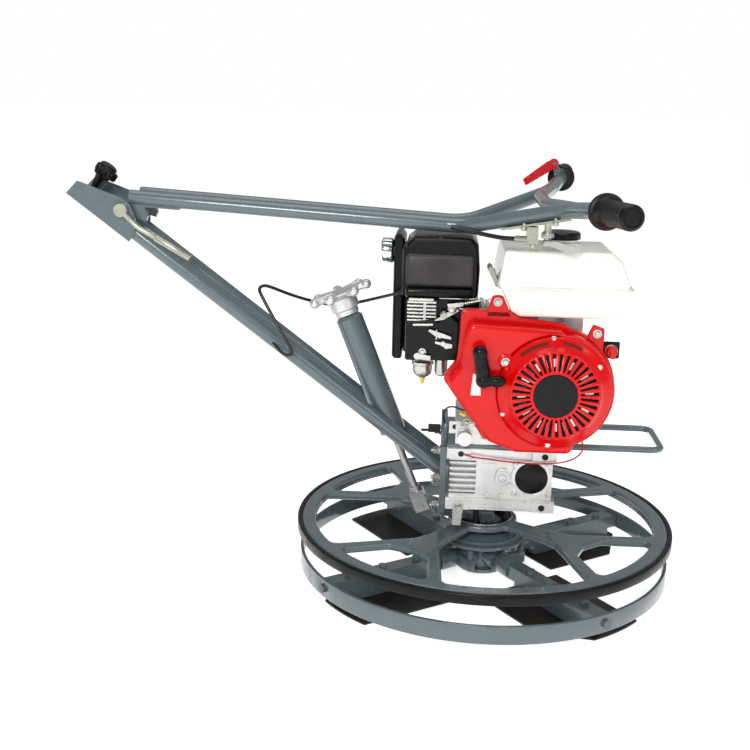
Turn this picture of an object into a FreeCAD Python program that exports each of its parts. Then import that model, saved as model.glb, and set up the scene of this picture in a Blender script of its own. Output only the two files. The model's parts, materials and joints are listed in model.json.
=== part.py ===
import FreeCAD, Part
import math
import os
import Sketcher
from FreeCAD import Placement, Rotation, Vector

# Walk-behind edging power trowel, handle folded over its engine.
# The rotor turns about the line x = 0, y = 0 and the slab is z = 0.
# The handle side is -X and the recoil side is -Y.

SIZES = {
    "centre_shift": 175.1,
    "rail_half_gap": 29, "rail_od": 24, "rail_slope": 37.04, "handle_od": 22.2, "bow_od": 20,
    "tube_wall": 2.5,
    "ring_od_half": 300, "ring_metal_half": 292.5, "ring_inner_half": 271, "ring_top": 91, "ring_bottom": 75,
    "ring_arm_angle": 54.2, "ring_arm_bottom": 80, "ring_hub_outer": 56, "ring_hub_inner": 46.4,
    "hoop_outer": 295, "hoop_inner": 290, "hoop_bottom": 15, "hoop_top": 43, "arm_height": 29,
    "arm_angle": 35.4, "arm_width": 26, "shank_half": 11, "blade_outer": 286, "blade_inner": 92,
    "blade_lead": 70, "blade_trail": 85, "blade_thick": 3, "blade_chamfer": 46,
    "gear_left": -62, "gear_right": 106, "gear_bottom": 128, "gear_top": 227.5, "gear_half_depth": 75,
    "worm_x": 69, "worm_z": 182.5, "worm_seat": 18, "cap_half": 25,
    "plate_left": -72, "plate_half": 62, "plate_bottom": 114, "plate_top": 224,
    "base_top": 233, "base_right": 112, "bail_end": 267, "bail_half": 56, "bail_rod": 5,
    "column_od": 42.4, "column_bore": 36, "column_tilt": 21.8, "rod_half": 6, "pin_x": -98.3, "pin_z": 100.6,
    "wheel_half": 44, "collar_half": 23,
    "fold_x": -565, "fold_z": 573.3, "fold_pin_half": 6,
    "crank_x": 88.5, "crank_z": 339, "shroud_half": 90, "cover_half": 82,
    "yoke_x": -52, "yoke_z": 103, "yoke_pin": 5, "pin_rise": 4.3,
    "flange_half": 32, "neck_half": 17.2, "disc_half": 72, "disc_bottom": 55, "disc_top": 61,
    "switch_x": 170, "switch_z": 396, "grip_bore": 11.2,
    "grip_half": 16, "flange_grip": 23.5, "bracket_inner": 40.7, "bracket_outer": 45.2,
}

doc = FreeCAD.newDocument("power_trowel")
sheet = doc.addObject("Spreadsheet::Sheet", "Sizes")
for row, (alias, value) in enumerate(SIZES.items(), start=1):
    sheet.set("A%d" % row, alias)
    sheet.set("B%d" % row, str(value))
    sheet.setAlias("B%d" % row, alias)
doc.recompute()
NODES = []


# ---------------------------------------------------------------- sheet and placement helpers
def size(alias):
    return float(sheet.get(alias))


def number(value):
    if not isinstance(value, str):
        return float(value)
    if value.startswith("-"):
        return -size(value[1:])
    return size(value)


def formula(value):
    if value.startswith("-"):
        return "-Sizes." + value[1:]
    return "Sizes." + value


def place(item, spot=(0, 0, 0), turn=None):
    x, y, z = [number(v) for v in spot]
    shift = size("centre_shift")
    item.Placement = Placement(Vector(shift + x, y, z), turn or Rotation())
    tail = formula(spot[0]) if isinstance(spot[0], str) else "%.4f" % x
    item.setExpression("Placement.Base.x", "Sizes.centre_shift + " + tail)
    if isinstance(spot[2], str):
        item.setExpression("Placement.Base.z", formula(spot[2]))
    NODES.append(item)
    return item


def feature(label, shape):
    if isinstance(shape, list):
        shape = Part.makeCompound(shape)
    item = doc.addObject("Part::Feature", label)
    item.Label = label
    item.Shape = shape
    spot = shape.Placement.Base
    return place(item, (spot.x, spot.y, spot.z), shape.Placement.Rotation)


# ---------------------------------------------------------------- PartDesign helpers
def new_body(label):
    body = doc.addObject("PartDesign::Body", label)
    body.Label = label
    return body


def origin_plane(body, role):
    for item in body.Origin.OriginFeatures:
        if item.Role == role:
            return item
    raise ValueError(role)


def sketch_on(body, role, lift=0):
    sketch = body.newObject("Sketcher::SketchObject", body.Label + "_sketch")
    sketch.AttachmentSupport = [(origin_plane(body, role), "")]
    sketch.MapMode = "FlatFace"
    sketch.AttachmentOffset = Placement(Vector(0, 0, number(lift)), Rotation())
    if isinstance(lift, str):
        sketch.setExpression("AttachmentOffset.Base.z", formula(lift))
    return sketch


def tie(sketch, kind, geo, pos, value):
    index = sketch.addConstraint(Sketcher.Constraint(kind, -1, 1, geo, pos, number(value)))
    if isinstance(value, str):
        sketch.setExpression("Constraints[%d]" % index, formula(value))


def draw_outline(sketch, corners):
    count = len(corners)
    first = sketch.GeometryCount
    flat = [Vector(number(u), number(v), 0) for u, v in corners]
    for i in range(count):
        sketch.addGeometry(Part.LineSegment(flat[i], flat[(i + 1) % count]), False)
    for i in range(count):
        after = first + (i + 1) % count
        sketch.addConstraint(Sketcher.Constraint("Coincident", first + i, 2, after, 1))
    for i, (u, v) in enumerate(corners):
        tie(sketch, "DistanceX", first + i, 1, u)
        tie(sketch, "DistanceY", first + i, 1, v)


def draw_circle(sketch, u, v, radius):
    spot = Vector(number(u), number(v), 0)
    geo = sketch.addGeometry(Part.Circle(spot, Vector(0, 0, 1), number(radius)), False)
    tie(sketch, "DistanceX", geo, 3, u)
    tie(sketch, "DistanceY", geo, 3, v)
    index = sketch.addConstraint(Sketcher.Constraint("Radius", geo, number(radius)))
    if isinstance(radius, str):
        sketch.setExpression("Constraints[%d]" % index, formula(radius))


def pad(body, sketch, length, both=False, back=False):
    solid = body.newObject("PartDesign::Pad", body.Label + "_pad")
    solid.Profile = sketch
    solid.Length = number(length)
    solid.Midplane = both
    solid.Reversed = back
    if isinstance(length, str):
        solid.setExpression("Length", formula(length))
    sketch.Visibility = False
    body.Tip = solid
    doc.recompute()
    return solid


def pocket_through(body, sketch):
    cut = body.newObject("PartDesign::Pocket", body.Label + "_pocket")
    cut.Profile = sketch
    cut.Type = "ThroughAll"
    cut.Midplane = True
    before = body.Shape.Volume
    body.Tip = cut
    doc.recompute()
    if not body.Shape.Volume < before:
        raise ValueError(body.Label + ": pocket cuts nothing")


def turned(label, rows, spot=(0, 0, 0), turn=None):
    # rows are (radius, height) corners, turned about the local Z axis
    body = new_body(label)
    sketch = sketch_on(body, "XZ_Plane")
    draw_outline(sketch, rows)
    solid = body.newObject("PartDesign::Revolution", label + "_turned")
    solid.Profile = sketch
    solid.ReferenceAxis = (sketch, ["V_Axis"])
    solid.Angle = 360
    body.Tip = solid
    doc.recompute()
    return place(body, spot, turn)


def slab(label, role, corners, length, lift=0, holes=(), both=False, spot=(0, 0, 0), turn=None,
         soften=0, back=False):
    body = new_body(label)
    sketch = sketch_on(body, role, lift)
    draw_outline(sketch, corners)
    solid = pad(body, sketch, length, both, back)
    if soften:
        rounded = body.newObject("PartDesign::Fillet", label + "_fillet")
        edges = long_edges(solid.Shape, role)
        rounded.Base = (solid, edges)
        rounded.Radius = number(soften)
        body.Tip = rounded
        doc.recompute()
    if holes:
        drill = sketch_on(body, role, lift)
        for u, v, radius in holes:
            draw_circle(drill, u, v, radius)
        pocket_through(body, drill)
    return place(body, spot, turn)


def long_edges(shape, role):
    axis = {"XY_Plane": Vector(0, 0, 1), "XZ_Plane": Vector(0, 1, 0), "YZ_Plane": Vector(1, 0, 0)}[role]
    names = []
    for i, edge in enumerate(shape.Edges, start=1):
        ends = edge.Vertexes
        if len(ends) != 2:
            continue
        run = ends[1].Point.sub(ends[0].Point)
        if run.Length > 1e-6 and abs(run.normalize().dot(axis)) > 0.999:
            names.append("Edge%d" % i)
    return names


# ---------------------------------------------------------------- Part helpers
def box(x0, x1, y0, y1, z0, z1):
    return Part.makeBox(x1 - x0, y1 - y0, z1 - z0, Vector(x0, y0, z0))


def rod(start, end, radius):
    a, b = Vector(*start), Vector(*end)
    run = b.sub(a)
    return Part.makeCylinder(radius, run.Length, a, run)


def cone(start, end, r0, r1):
    a, b = Vector(*start), Vector(*end)
    run = b.sub(a)
    return Part.makeCone(r0, r1, run.Length, a, run)


def prism(points, push):
    wire = Part.makePolygon([Vector(*p) for p in points] + [Vector(*points[0])])
    return Part.Face(wire).extrude(Vector(*push))


def side_prism(points, y0, y1):
    return prism([(x, y0, z) for x, z in points], (0, y1 - y0, 0))


def ball(spot, radius):
    return Part.makeSphere(radius, Vector(*spot))


def fuse(*shapes):
    whole = shapes[0]
    for other in shapes[1:]:
        whole = whole.fuse(other)
    return whole.removeSplitter()


def cut(base, *tools):
    for tool in tools:
        base = base.cut(tool)
    return base


def spun(shape, degrees, centre=(0, 0, 0), axis=(0, 0, 1)):
    copy = shape.copy()
    copy.rotate(Vector(*centre), Vector(*axis), degrees)
    return copy


def soften_edges(shape, radius, pick):
    edges = [e for e in shape.Edges if pick(e)]
    return shape.makeFillet(radius, edges)


def bend_path(points, radii):
    # straight runs joined by tangent arcs; radii holds one radius for each inner point
    spots = [Vector(*p) for p in points]
    edges = []
    last = spots[0]
    for i in range(1, len(spots) - 1):
        here = spots[i]
        into = here.sub(spots[i - 1]).normalize()
        out = spots[i + 1].sub(here).normalize()
        turn = into.getAngle(out)
        reach = radii[i - 1] * math.tan(turn / 2)
        start = here.sub(into * reach)
        end = here.add(out * reach)
        toward = out.sub(into).normalize()
        middle = here.add(toward * (radii[i - 1] / math.cos(turn / 2) - radii[i - 1]))
        edges.append(Part.LineSegment(last, start).toShape())
        edges.append(Part.Arc(start, middle, end).toShape())
        last = end
    edges.append(Part.LineSegment(last, spots[-1]).toShape())
    return Part.Wire(edges)


def pipe(path, radius):
    first = path.Edges[0]
    start = first.valueAt(first.FirstParameter)
    along = first.tangentAt(first.FirstParameter)
    ring = Part.Wire([Part.Circle(start, along, radius).toShape()])
    solid = path.makePipeShell([ring], True, True)
    if not solid.isValid() or solid.Volume <= 0:
        raise ValueError("tube failed")
    return solid


def bent_tube(points, radii, outer, inner=0):
    path = bend_path(points, radii)
    solid = pipe(path, outer)
    if inner:
        solid = solid.cut(pipe(path, inner))
    return solid


def flex(label, points, diameter):
    # a cord: every arc is as large as its two runs allow
    spots = [Vector(*p) for p in points]
    radii = []
    for i in range(1, len(spots) - 1):
        into = spots[i].sub(spots[i - 1])
        out = spots[i + 1].sub(spots[i])
        turn = into.getAngle(out)
        radii.append(0.45 * min(into.Length, out.Length) / math.tan(turn / 2))
    path = bend_path(points, radii)
    tube = pipe(path, diameter / 2)
    section = math.pi * diameter * diameter / 4
    share = tube.Volume / (section * path.Length)
    smallest = min(radii)
    print("%s length %.1f smallest radius %.1f volume share %.4f" % (label, path.Length, smallest, share))
    print("   radii", [round(r, 1) for r in radii])
    return feature(label, tube)


# ---------------------------------------------------------------- shared lines
SLOPE = math.radians(size("rail_slope"))
UP_RAIL = Vector(-math.cos(SLOPE), 0, math.sin(SLOPE))
OFF_RAIL = Vector(math.sin(SLOPE), 0, math.cos(SLOPE))
FOLD = Vector(size("fold_x"), 0, size("fold_z"))
FOOT = FOLD.sub(OFF_RAIL * 18.7)
TILT = math.radians(size("column_tilt"))
UP_COLUMN = Vector(-math.sin(TILT), 0, math.cos(TILT))
PIN = Vector(size("pin_x"), 0, size("pin_z"))
ARM_ANGLES = [size("arm_angle") + 90 * i for i in range(4)]


def on_rail(along, off, y=0):
    spot = FOOT.add(UP_RAIL * along).add(OFF_RAIL * off)
    return (spot.x, y, spot.z)


def on_column(along, y=0):
    spot = PIN.add(UP_COLUMN * along)
    return (spot.x, y, spot.z)


# ---------------------------------------------------------------- gearbox
def gearbox_housing():
    left, right = size("gear_left"), size("gear_right")
    low, high, half = size("gear_bottom"), size("gear_top"), size("gear_half_depth")
    wx, wz = size("worm_x"), size("worm_z")
    shell = box(left + 5, right - 5, -half + 5, half - 5, low, high)
    shell = fuse(shell, box(left, right, -half, half, high - 18, high),
                 box(left, right, -half, half, low, low + 18))
    for side in (-1, 1):
        shell = cut(shell, box(-56.9, -16, min(side * 70.1, side * 58), max(side * 70.1, side * 58), 152,
                               206))
        for i in range(6):
            fin = 154.5 + 9.2 * i
            shell = fuse(shell, box(-57, -14, min(side * 70, side * 57), max(side * 70, side * 57), fin,
                                    fin + 3))
        shell = fuse(shell, rod((24.5, side * 60, 186), (24.5, side * 74, 186), 10))
        shell = fuse(shell, rod((wx, side * 60, wz), (wx, side * 75, wz), 31))
    shell = cut(shell, box(-52, 58, -52, 52, 140, 219), rod((wx, -51, wz), (wx, 51, wz), 24))
    shell = cut(shell, rod((wx, -80, wz), (wx, 80, wz), size("worm_seat")),
                rod((wx, -80, wz), (wx, -70, wz), size("cap_half")))
    shell = cut(shell, rod((0, 0, low - 1), (0, 0, 141), 17))
    for side in (-1, 1):
        for x, z in ((-40.4, 219), (87.6, 219), (-41, 136), (86.4, 136)):
            shell = cut(shell, rod((x, side * (half + 1), z), (x, side * (half - 14), z), 4))
    px, pz = size("yoke_x"), size("yoke_z")
    lug = box(px - 8, px + 8, -12, 12, 94, low + 1)
    lug = cut(lug, rod((px, -13, pz), (px, 13, pz), size("yoke_pin") + 0.4))
    feature("gearbox_housing", fuse(shell, lug))


def gearbox_small_parts():
    turned("gearbox_bearing_cap", [(0, 0), ("cap_half", 0), ("cap_half", 6), (22, 9), (0, 9)],
           ("worm_x", -70, "worm_z"), Rotation(Vector(1, 0, 0), 90))


def guard_bearing():
    ring = cut(rod((0, 0, 80), (0, 0, 91), 46.1), rod((0, 0, 79), (0, 0, 93), 37.5))
    for x, y in ((34.5, -22.7), (34.5, 22.7), (-12, 39.5), (-12, -39.5)):
        ring = fuse(ring, rod((x, y, 85), (x, y, 128), 4.5))
    feature("guard_bearing", cut(ring, rod((0, 0, 79), (0, 0, 93), 37.5)))


def output_shaft():
    shaft = [(0, 6), (11, 6), (11, 49), (14.5, 50.5), (14.5, 150), (17, 152), (17, 166), (46, 168), (48, 171),
             (48, 195), (46, 198), (17, 200), (17, 212), (0, 212)]
    turned("output_shaft", shaft)


def worm_shaft():
    # worm, both bearing seats and the driven pulley turn as one, about Y
    shape = [(0, -66), (17.6, -66), (17.6, -52), (10, -50), (10, -34), (18, -32), (18, 32), (10, 34),
             (10, 50),
             (17.6, 52), (17.6, 72), (9.5, 74), (9.5, 104), (44, 104), (47, 106), (39, 114), (47, 122),
             (44, 124), (0, 124)]
    turned("worm_shaft", shape, ("worm_x", 0, "worm_z"), Rotation(Vector(1, 0, 0), -90))


# ---------------------------------------------------------------- lower frame
def bracket_plate():
    corners = [("-plate_half", "plate_bottom"), ("plate_half", "plate_bottom"), ("plate_half", "plate_top"),
               (34, "plate_top"), (28, 259), (-52, 259), (-58, "plate_top"), ("-plate_half", "plate_top")]
    holes = [(-52, 124, 5), (52, 124, 5), (-52, 170, 5), (52, 170, 5), (-52, 215, 5), (52, 215, 5)]
    slab("rail_bracket_plate", "YZ_Plane", corners, 10, "plate_left", holes)


def rails():
    outer, wall = size("rail_od") / 2, size("tube_wall")
    beyond = box(size("plate_left"), 200, -80, 80, 0, 400)
    for label, side in (("lower_rail_front", -1), ("lower_rail_rear", 1)):
        y = side * size("rail_half_gap")
        tube = rod(on_rail(-9, 0, y), on_rail(-720, 0, y), outer)
        bore = rod(on_rail(-8, 0, y), on_rail(-730, 0, y), outer - wall)
        tube = cut(tube, bore, beyond)
        feature(label, tube)


def pitch_column():
    radius, bore = size("column_od") / 2, size("column_bore") / 2
    tube = rod(on_column(138), on_column(333), radius)
    tube = fuse(tube, cone(on_column(333), on_column(338), radius, radius - 5))
    tube = cut(tube, rod(on_column(100), on_column(330), bore), rod(on_column(300), on_column(350), 7))
    for side in (-1, 1):
        y = side * size("rail_half_gap")
        tube = cut(tube, rod(on_rail(-400, 0, y), on_rail(-720, 0, y), size("rail_od") / 2))
    whole = [s for s in tube.Solids if s.Volume > 2000]
    feature("pitch_column", whole[0])


def head_bracket():
    inner, outer = size("bracket_inner"), size("bracket_outer")
    face = [on_rail(-36, -14), on_rail(82, -14), on_rail(79, 11), on_rail(52, 20), on_rail(12, 32),
            on_rail(-6, 32),
            on_rail(-22, 22), on_rail(-36, 2)]
    flat = [(p[0], p[2]) for p in face]
    sides = [side_prism(flat, -outer, -inner), side_prism(flat, inner, outer)]
    web = [on_rail(22, -14), on_rail(80, -14), on_rail(80, -11.5), on_rail(22, -11.5)]
    whole = fuse(sides[0], sides[1], side_prism([(p[0], p[2]) for p in web], -outer, outer))
    boss = rod(on_rail(61, -12), on_rail(61, 6), 11)
    whole = fuse(whole, boss)
    whole = cut(whole, rod((FOLD.x, -60, FOLD.z), (FOLD.x, 60, FOLD.z), size("fold_pin_half") + 0.3))
    feature("head_bracket", cut(whole, rod(on_rail(61, -20), on_rail(61, 10), 5.4)))


def base_and_bail():
    corners = [("gear_left", "-gear_half_depth"), ("base_right", "-gear_half_depth"),
               ("base_right", "gear_half_depth"),
               ("gear_left", "gear_half_depth")]
    slab("engine_base_plate", "XY_Plane", corners, 5.5, "gear_top",
         [(-30, -50, 5), (-30, 50, 5), (95, -50, 5), (95, 50, 5)])
    start, end, half, z = size("base_right"), size("bail_end"), size("bail_half"), 230.2
    points = [(start, -half, z), (end, -half, z), (end, half, z), (start, half, z)]
    feature("lifting_bail", bent_tube(points, [16, 16], size("bail_rod")))


# ---------------------------------------------------------------- pitch control
def pitch_handwheel():
    # seven ball lobes on a dished star, its collar and the threaded sleeve under it
    seat = 339.5
    hub = rod(on_column(seat), on_column(seat + 9), 19)
    collar = rod(on_column(seat + 9), on_column(seat + 28), size("collar_half"))
    plate = cone(on_column(seat + 28), on_column(seat + 37), 27, 33)
    star = fuse(hub, collar, plate)
    middle = on_column(seat + 35)
    lobe = fuse(rod(middle, (middle[0], middle[1] + size("wheel_half"), middle[2]), 6.5),
                ball((middle[0], middle[1] + size("wheel_half"), middle[2]), 8))
    for i in range(7):
        star = fuse(star, spun(lobe, 11 + i * 360.0 / 7, middle, tuple(UP_COLUMN)))
    star = cut(star, rod(on_column(300), on_column(seat + 30), size("rod_half") + 0.3))
    feature("pitch_handwheel", star)


def pitch_rod():
    stem = rod(on_column(24), on_column(356), size("rod_half"))
    nut = rod(on_column(30), on_column(38), 9.5)
    across = Placement(Vector(*on_column(size("pin_rise"))), Rotation(Vector(0, 1, 0), -size("column_tilt")))
    fork = box(-11.5, 11.5, -11, 11, -9, 26)
    fork = cut(fork, box(-20, 20, -6.2, 6.2, -20, 15))
    fork = fuse(fork, rod((0, -14, 0), (0, 14, 0), 4))
    fork.Placement = across
    feature("pitch_rod", fuse(stem, nut, fork))


def pitch_yoke():
    # two side bars from the pivot to the collar, joined behind the pivot by the eye that the rod lifts
    x, z = size("yoke_x"), size("yoke_z")
    profile = [(x - 26, 95), (-24, 95.5), (-16, 89.5), (14, 89.5), (19, 93), (19, 102), (14, 107),
               (x - 26, 107)]
    bars = fuse(side_prism(profile, -25, -15.5), side_prism(profile, 15.5, 25))
    bars = fuse(bars, box(x - 28, x - 16, -25, 25, 95, 107))
    eye = side_prism([(-113, 95.3), (x - 20, 95.3), (x - 20, 107), (x - 27, 112.8), (-113, 112.8)], -5.6, 5.6)
    slot = fuse(rod((-104.2, -8, 104.2), (-104.2, 8, 104.2), 5.2),
                rod((-99.4, -8, 104.2), (-99.4, 8, 104.2), 5.2),
                box(-104.2, -99.4, -8, 8, 99, 109.4))
    pads = [rod((0, y, 89.7), (0, y + 9.5, 89.7), 4) for y in (-25, 15.5)]
    pin = rod((x, -25, z), (x, 25, z), size("yoke_pin"))
    feature("pitch_yoke", cut(fuse(bars, eye, pads[0], pads[1], pin), slot))


def thrust_collar():
    rows = [("neck_half", "disc_bottom"), ("disc_half", "disc_bottom"), ("disc_half", "disc_top"),
            (30, 64), (24, 70),
            (24, 79), ("flange_half", 81), ("flange_half", 85), ("neck_half", 85)]
    turned("thrust_collar", rows)


# ---------------------------------------------------------------- rotor
def spider_hub():
    hub = fuse(rod((0, 0, 9), (0, 0, 45.5), 29), rod((0, 0, 4), (0, 0, 10), 38))
    for angle in ARM_ANGLES:
        hub = fuse(hub, spun(rod((14, 0, size("arm_height")), (44, 0, size("arm_height")), 17), angle))
    hub = cut(hub, rod((0, 0, 4), (0, 0, 60), 11))
    for angle in ARM_ANGLES:
        hub = cut(hub, spun(rod((20, 0, size("arm_height")), (60, 0, size("arm_height")),
                                size("shank_half") + 0.3), angle))
    feature("spider_hub", hub)


def stabiliser_ring():
    low, high = size("hoop_bottom"), size("hoop_top")
    hoop = cut(rod((0, 0, low), (0, 0, high), size("hoop_outer")),
               rod((0, 0, low), (0, 0, high), size("hoop_inner")))
    for angle in ARM_ANGLES:
        hoop = cut(hoop, spun(rod((280, 0, size("arm_height")), (300, 0, size("arm_height")), 4.05), angle))
    feature("stabiliser_ring", hoop)


def ring_bolts():
    bolts = []
    for angle in ARM_ANGLES:
        z = size("arm_height")
        bolt = fuse(rod((276, 0, z), (296, 0, z), 4), rod((size("hoop_outer"), 0, z), (299, 0, z), 6.5))
        bolts.append(spun(bolt, angle))
    feature("stabiliser_ring_bolts", bolts)


def trowel_arms():
    z, half = size("arm_height"), size("arm_width") / 2
    for i, angle in enumerate(ARM_ANGLES, start=1):
        shank = rod((22, 0, z), (64, 0, z), size("shank_half"))
        sleeve = rod((58, 0, z), (88, 0, z), 17)
        bar = box(80, 288, -half, half, 18, 39)
        arm = fuse(shank, sleeve, bar)
        finger = fuse(box(46, 57, -8, 46, z - 9, z + 9), rod((51.5, 40, z + 5), (51.5, 40, 54), 4.5))
        arm = fuse(arm, finger)
        foot = box(104, 270, -half + 1, half - 1, size("blade_thick"), 20)
        arm = fuse(arm, foot)
        arm = cut(arm, rod((270, 0, z), (300, 0, z), 4.3))
        heads = [rod((x, 0, 38), (x, 0, 44.5), 6.5) for x in (128, 190, 250)]
        arm = fuse(arm, *heads)
        feature("trowel_arm_%d" % i, spun(arm, angle))


def trowel_blades():
    outer, inner = size("blade_outer"), size("blade_inner")
    lead, trail, thick = size("blade_lead"), size("blade_trail"), size("blade_thick")
    chamfer = size("blade_chamfer")
    plan = [(inner, -lead), (outer - chamfer - 18, -lead), (outer, -10), (outer, trail), (inner, trail)]
    for i, angle in enumerate(ARM_ANGLES, start=1):
        sheet_steel = prism([(x, y, 0) for x, y in plan], (0, 0, thick))
        sheet_steel = sheet_steel.common(rod((0, 0, -1), (0, 0, thick + 1), outer))
        feature("trowel_blade_%d" % i, spun(sheet_steel, angle))


# ---------------------------------------------------------------- guard ring
def guard_ring():
    top, low = size("ring_top"), size("ring_arm_bottom")
    rim = cut(rod((0, 0, size("ring_bottom")), (0, 0, top), size("ring_metal_half")),
              rod((0, 0, 0), (0, 0, 100), size("ring_inner_half")))
    hub = rod((0, 0, low), (0, 0, top), size("ring_hub_outer"))
    leg = [(40, -14, low), (125, -17, low), (150, -24, low), (283, -128, low), (289, -104, low),
           (196, -37, low),
           (186, 0, low), (196, 37, low), (289, 104, low), (283, 128, low), (150, 24, low),
           (125, 17, low), (40, 14, low)]
    arm = prism(leg, (0, 0, top - low)).common(rod((0, 0, 0), (0, 0, 100), 280))
    upright = [e for e in arm.Edges if abs(e.tangentAt(e.FirstParameter).z) > 0.99 and 120 < math.hypot(
        e.CenterOfMass.x, e.CenterOfMass.y) < 215]
    arm = arm.makeFillet(9, upright)
    ring = fuse(rim, hub)
    for i in range(4):
        ring = ring.fuse(spun(arm, size("ring_arm_angle") + 90 * i))
    ring = cut(ring.removeSplitter(), rod((0, 0, 0), (0, 0, 100), size("ring_hub_inner")))
    feature("guard_ring", ring)
    turned("guard_ring_tyre", [("ring_metal_half", "ring_bottom"), ("ring_od_half", "ring_bottom"),
                               ("ring_od_half", "ring_top"),
                               ("ring_metal_half", "ring_top")])


# ---------------------------------------------------------------- engine
def crankcase():
    cx, cz = size("crank_x"), size("crank_z")
    case = rod((cx, -88, cz), (cx, 88, cz), 76)
    flange = cut(rod((cx, -92, cz), (cx, -84, cz), 86), rod((cx, -95, cz), (cx, -88, cz), 70))
    foot = box(-50, 112, -72, 78, size("base_top"), 262)
    case = fuse(case, flange, foot, box(30, 128, -84, 84, 262, 340))
    lean = math.radians(25)
    along = (-math.cos(lean), math.sin(lean))
    across = (math.sin(lean), math.cos(lean))

    def corner(u, v):
        return (cx + along[0] * u + across[0] * v, cz + along[1] * u + across[1] * v)
    block = side_prism([corner(0, -46), corner(150, -46), corner(150, 46), corner(0, 46)], -40, 60)
    head = side_prism([corner(150, -36), corner(166, -36), corner(166, 36), corner(150, 36)], -32, 52)
    case = fuse(case, block, head)
    for i in range(7):
        u = 78 + 10 * i
        groove = side_prism([corner(u, 38), corner(u + 4, 38), corner(u + 4, 60), corner(u, 60)], -60, 80)
        lower = side_prism([corner(u, -60), corner(u + 4, -60), corner(u + 4, -38), corner(u, -38)], -60, 80)
        case = cut(case, groove, lower)
    # tank posts, intake port and exhaust port
    case = fuse(case, box(44, 66, -70, 50, 395, 441), box(104, 132, -70, 50, 390, 441))
    case = fuse(case, rod((-78, -20, 402), (-50, -20, 402), 13), rod((-96, 38, 398), (-50, 38, 398), 14))
    case = cut(case, rod((cx, -100, cz), (cx, 100, cz), 18), rod((cx, -62, cz), (cx, 62, cz), 54))
    case = fuse(case, rod((-36, -70, 246), (-36, -90, 246), 11))
    feature("crankcase", case)


def crankshaft():
    rows = [(0, -148), (26, -148), (28, -143), (12, -141), (12, -126), (76, -124), (76, -104), (60, -96),
            (17.4, -96),
            (17.4, -58), (50, -56), (50, -30), (17, -28), (17, 28), (50, 30), (50, 56), (17.4, 58),
            (17.4, 94),
            (12, 96), (12, 103), (38, 103), (40, 106), (31, 114), (40, 122), (38, 136), (12, 136), (0, 136)]
    turned("crankshaft", rows, ("crank_x", 0, "crank_z"), Rotation(Vector(1, 0, 0), -90))


def blower_housing():
    cx, cz, radius = size("crank_x"), size("crank_z"), size("shroud_half")
    low = [(cx + 30, 240), (38, 240), (-10, 256), (-30, 286), (-73, 346), (-53, 374), (-50, 408)]
    front = side_prism(low + [(-45, 434), (40, 434.5), (cx, 431), (cx + 40, 400), (cx + 60, 300)], -141, -112)
    rear = side_prism(low + [(-49, 450), (20, 450), (34, 440.5), (cx + 20, 432), (cx + 50, 400),
                             (cx + 60, 300)],
                      -112, -92)
    drum = rod((cx, -92, cz), (cx, -141, cz), radius)
    whole = fuse(front, rear, drum)
    lugs = fuse(side_prism([(-15, 440), (25, 440), (11, 471), (-5, 471)], -112, -104),
                side_prism([(125, 395), (159, 395), (158.5, 428), (142, 434)], -112, -104))
    x, z = size("switch_x"), size("switch_z")
    switch_lug = box(x - 18, x + 13, -104, -100, z - 13, z + 12)
    whole = fuse(whole, lugs, switch_lug)
    cavity = rod((cx, -91, cz), (cx, -138, cz), 80)
    duct = side_prism([(cx, 418), (-36, 418), (-42, 380), (-60, 346), (-24, 296), (0, 268), (cx, 268)],
                      -138, -91)
    whole = cut(whole, cavity, duct, rod((cx, -80, cz), (cx, -160, cz), 70),
                rod((x, -110, z), (x, -90, z), 3.4))
    feature("blower_housing", whole)


def recoil_cover():
    cx, cz = size("crank_x"), size("crank_z")
    rows = [(2, 160.5), (29, 160.5), (30, 157.5), (60, 157.5), (63, 154), (67, 146), (79, 141),
            ("cover_half", 141),
            ("cover_half", 147), (76, 151), (70, 152), (66, 160), (60, 163), (33, 163), (31, 165), (2, 165)]
    profile = [Vector(number(r), 0, d) for r, d in rows]
    face = Part.Face(Part.makePolygon(profile + [profile[0]]))
    shell = face.revolve(Vector(0, 0, 0), Vector(0, 0, 1), 360)
    shell = shell.fuse(rod((0, 0, 160.5), (0, 0, 165), 3))
    for i in range(36):
        shell = shell.cut(spun(box(40, 62.5, -1.6, 1.6, 150, 170), i * 10))
    shell.Placement = Placement(Vector(cx, 0, cz), Rotation(Vector(1, 0, 0), 90))
    feature("recoil_cover", shell.fuse(rod((18, -156, 354), (27, -156, 350), 6.5)))


def fuel_tank():
    # the flat top falls away towards the back
    side = [(10, 537.5), (163, 537.5), (179.5, 523), (191, 493), (190.5, 472), (183, 441), (35, 441),
            (21.5, 449),
            (13.5, 469), (3, 488)]
    outer = side_prism(side, -110, 82)
    outer = soften_edges(outer, 5, lambda e: e.BoundBox.YLength < 0.1)
    fall = prism([(-10, 20, 537.6), (-10, 90, 526.4), (-10, 90, 560), (-10, 20, 560)], (220, 0, 0))
    lip = side_prism([(2, 480), (197, 480), (200, 483), (197, 486), (2, 486)], -114, 86)
    front = side_prism([(14, 533), (161, 533), (175, 520.5), (187, 492), (186.5, 473), (179, 446), (37, 446),
                        (25.5, 452), (17.5, 471), (7, 489)], -105, 18)
    rear = side_prism([(12, 522), (173, 522), (187, 492), (186.5, 473), (179, 446), (37, 446), (25.5, 452),
                       (17.5, 471), (7, 489)], 17, 77)
    tank = cut(fuse(cut(outer, fall), lip), front, rear)
    neck = rod((98, -14, 534), (98, -14, 545), 25)
    tank = cut(fuse(tank, neck), rod((98, -14, 526), (98, -14, 560), 21))
    feature("fuel_tank", tank)
    turned("fuel_cap", [(0, 545.4), (29, 545.4), (29, 553), (26, 556), (0, 557)], (98, -14, 0))


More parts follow.
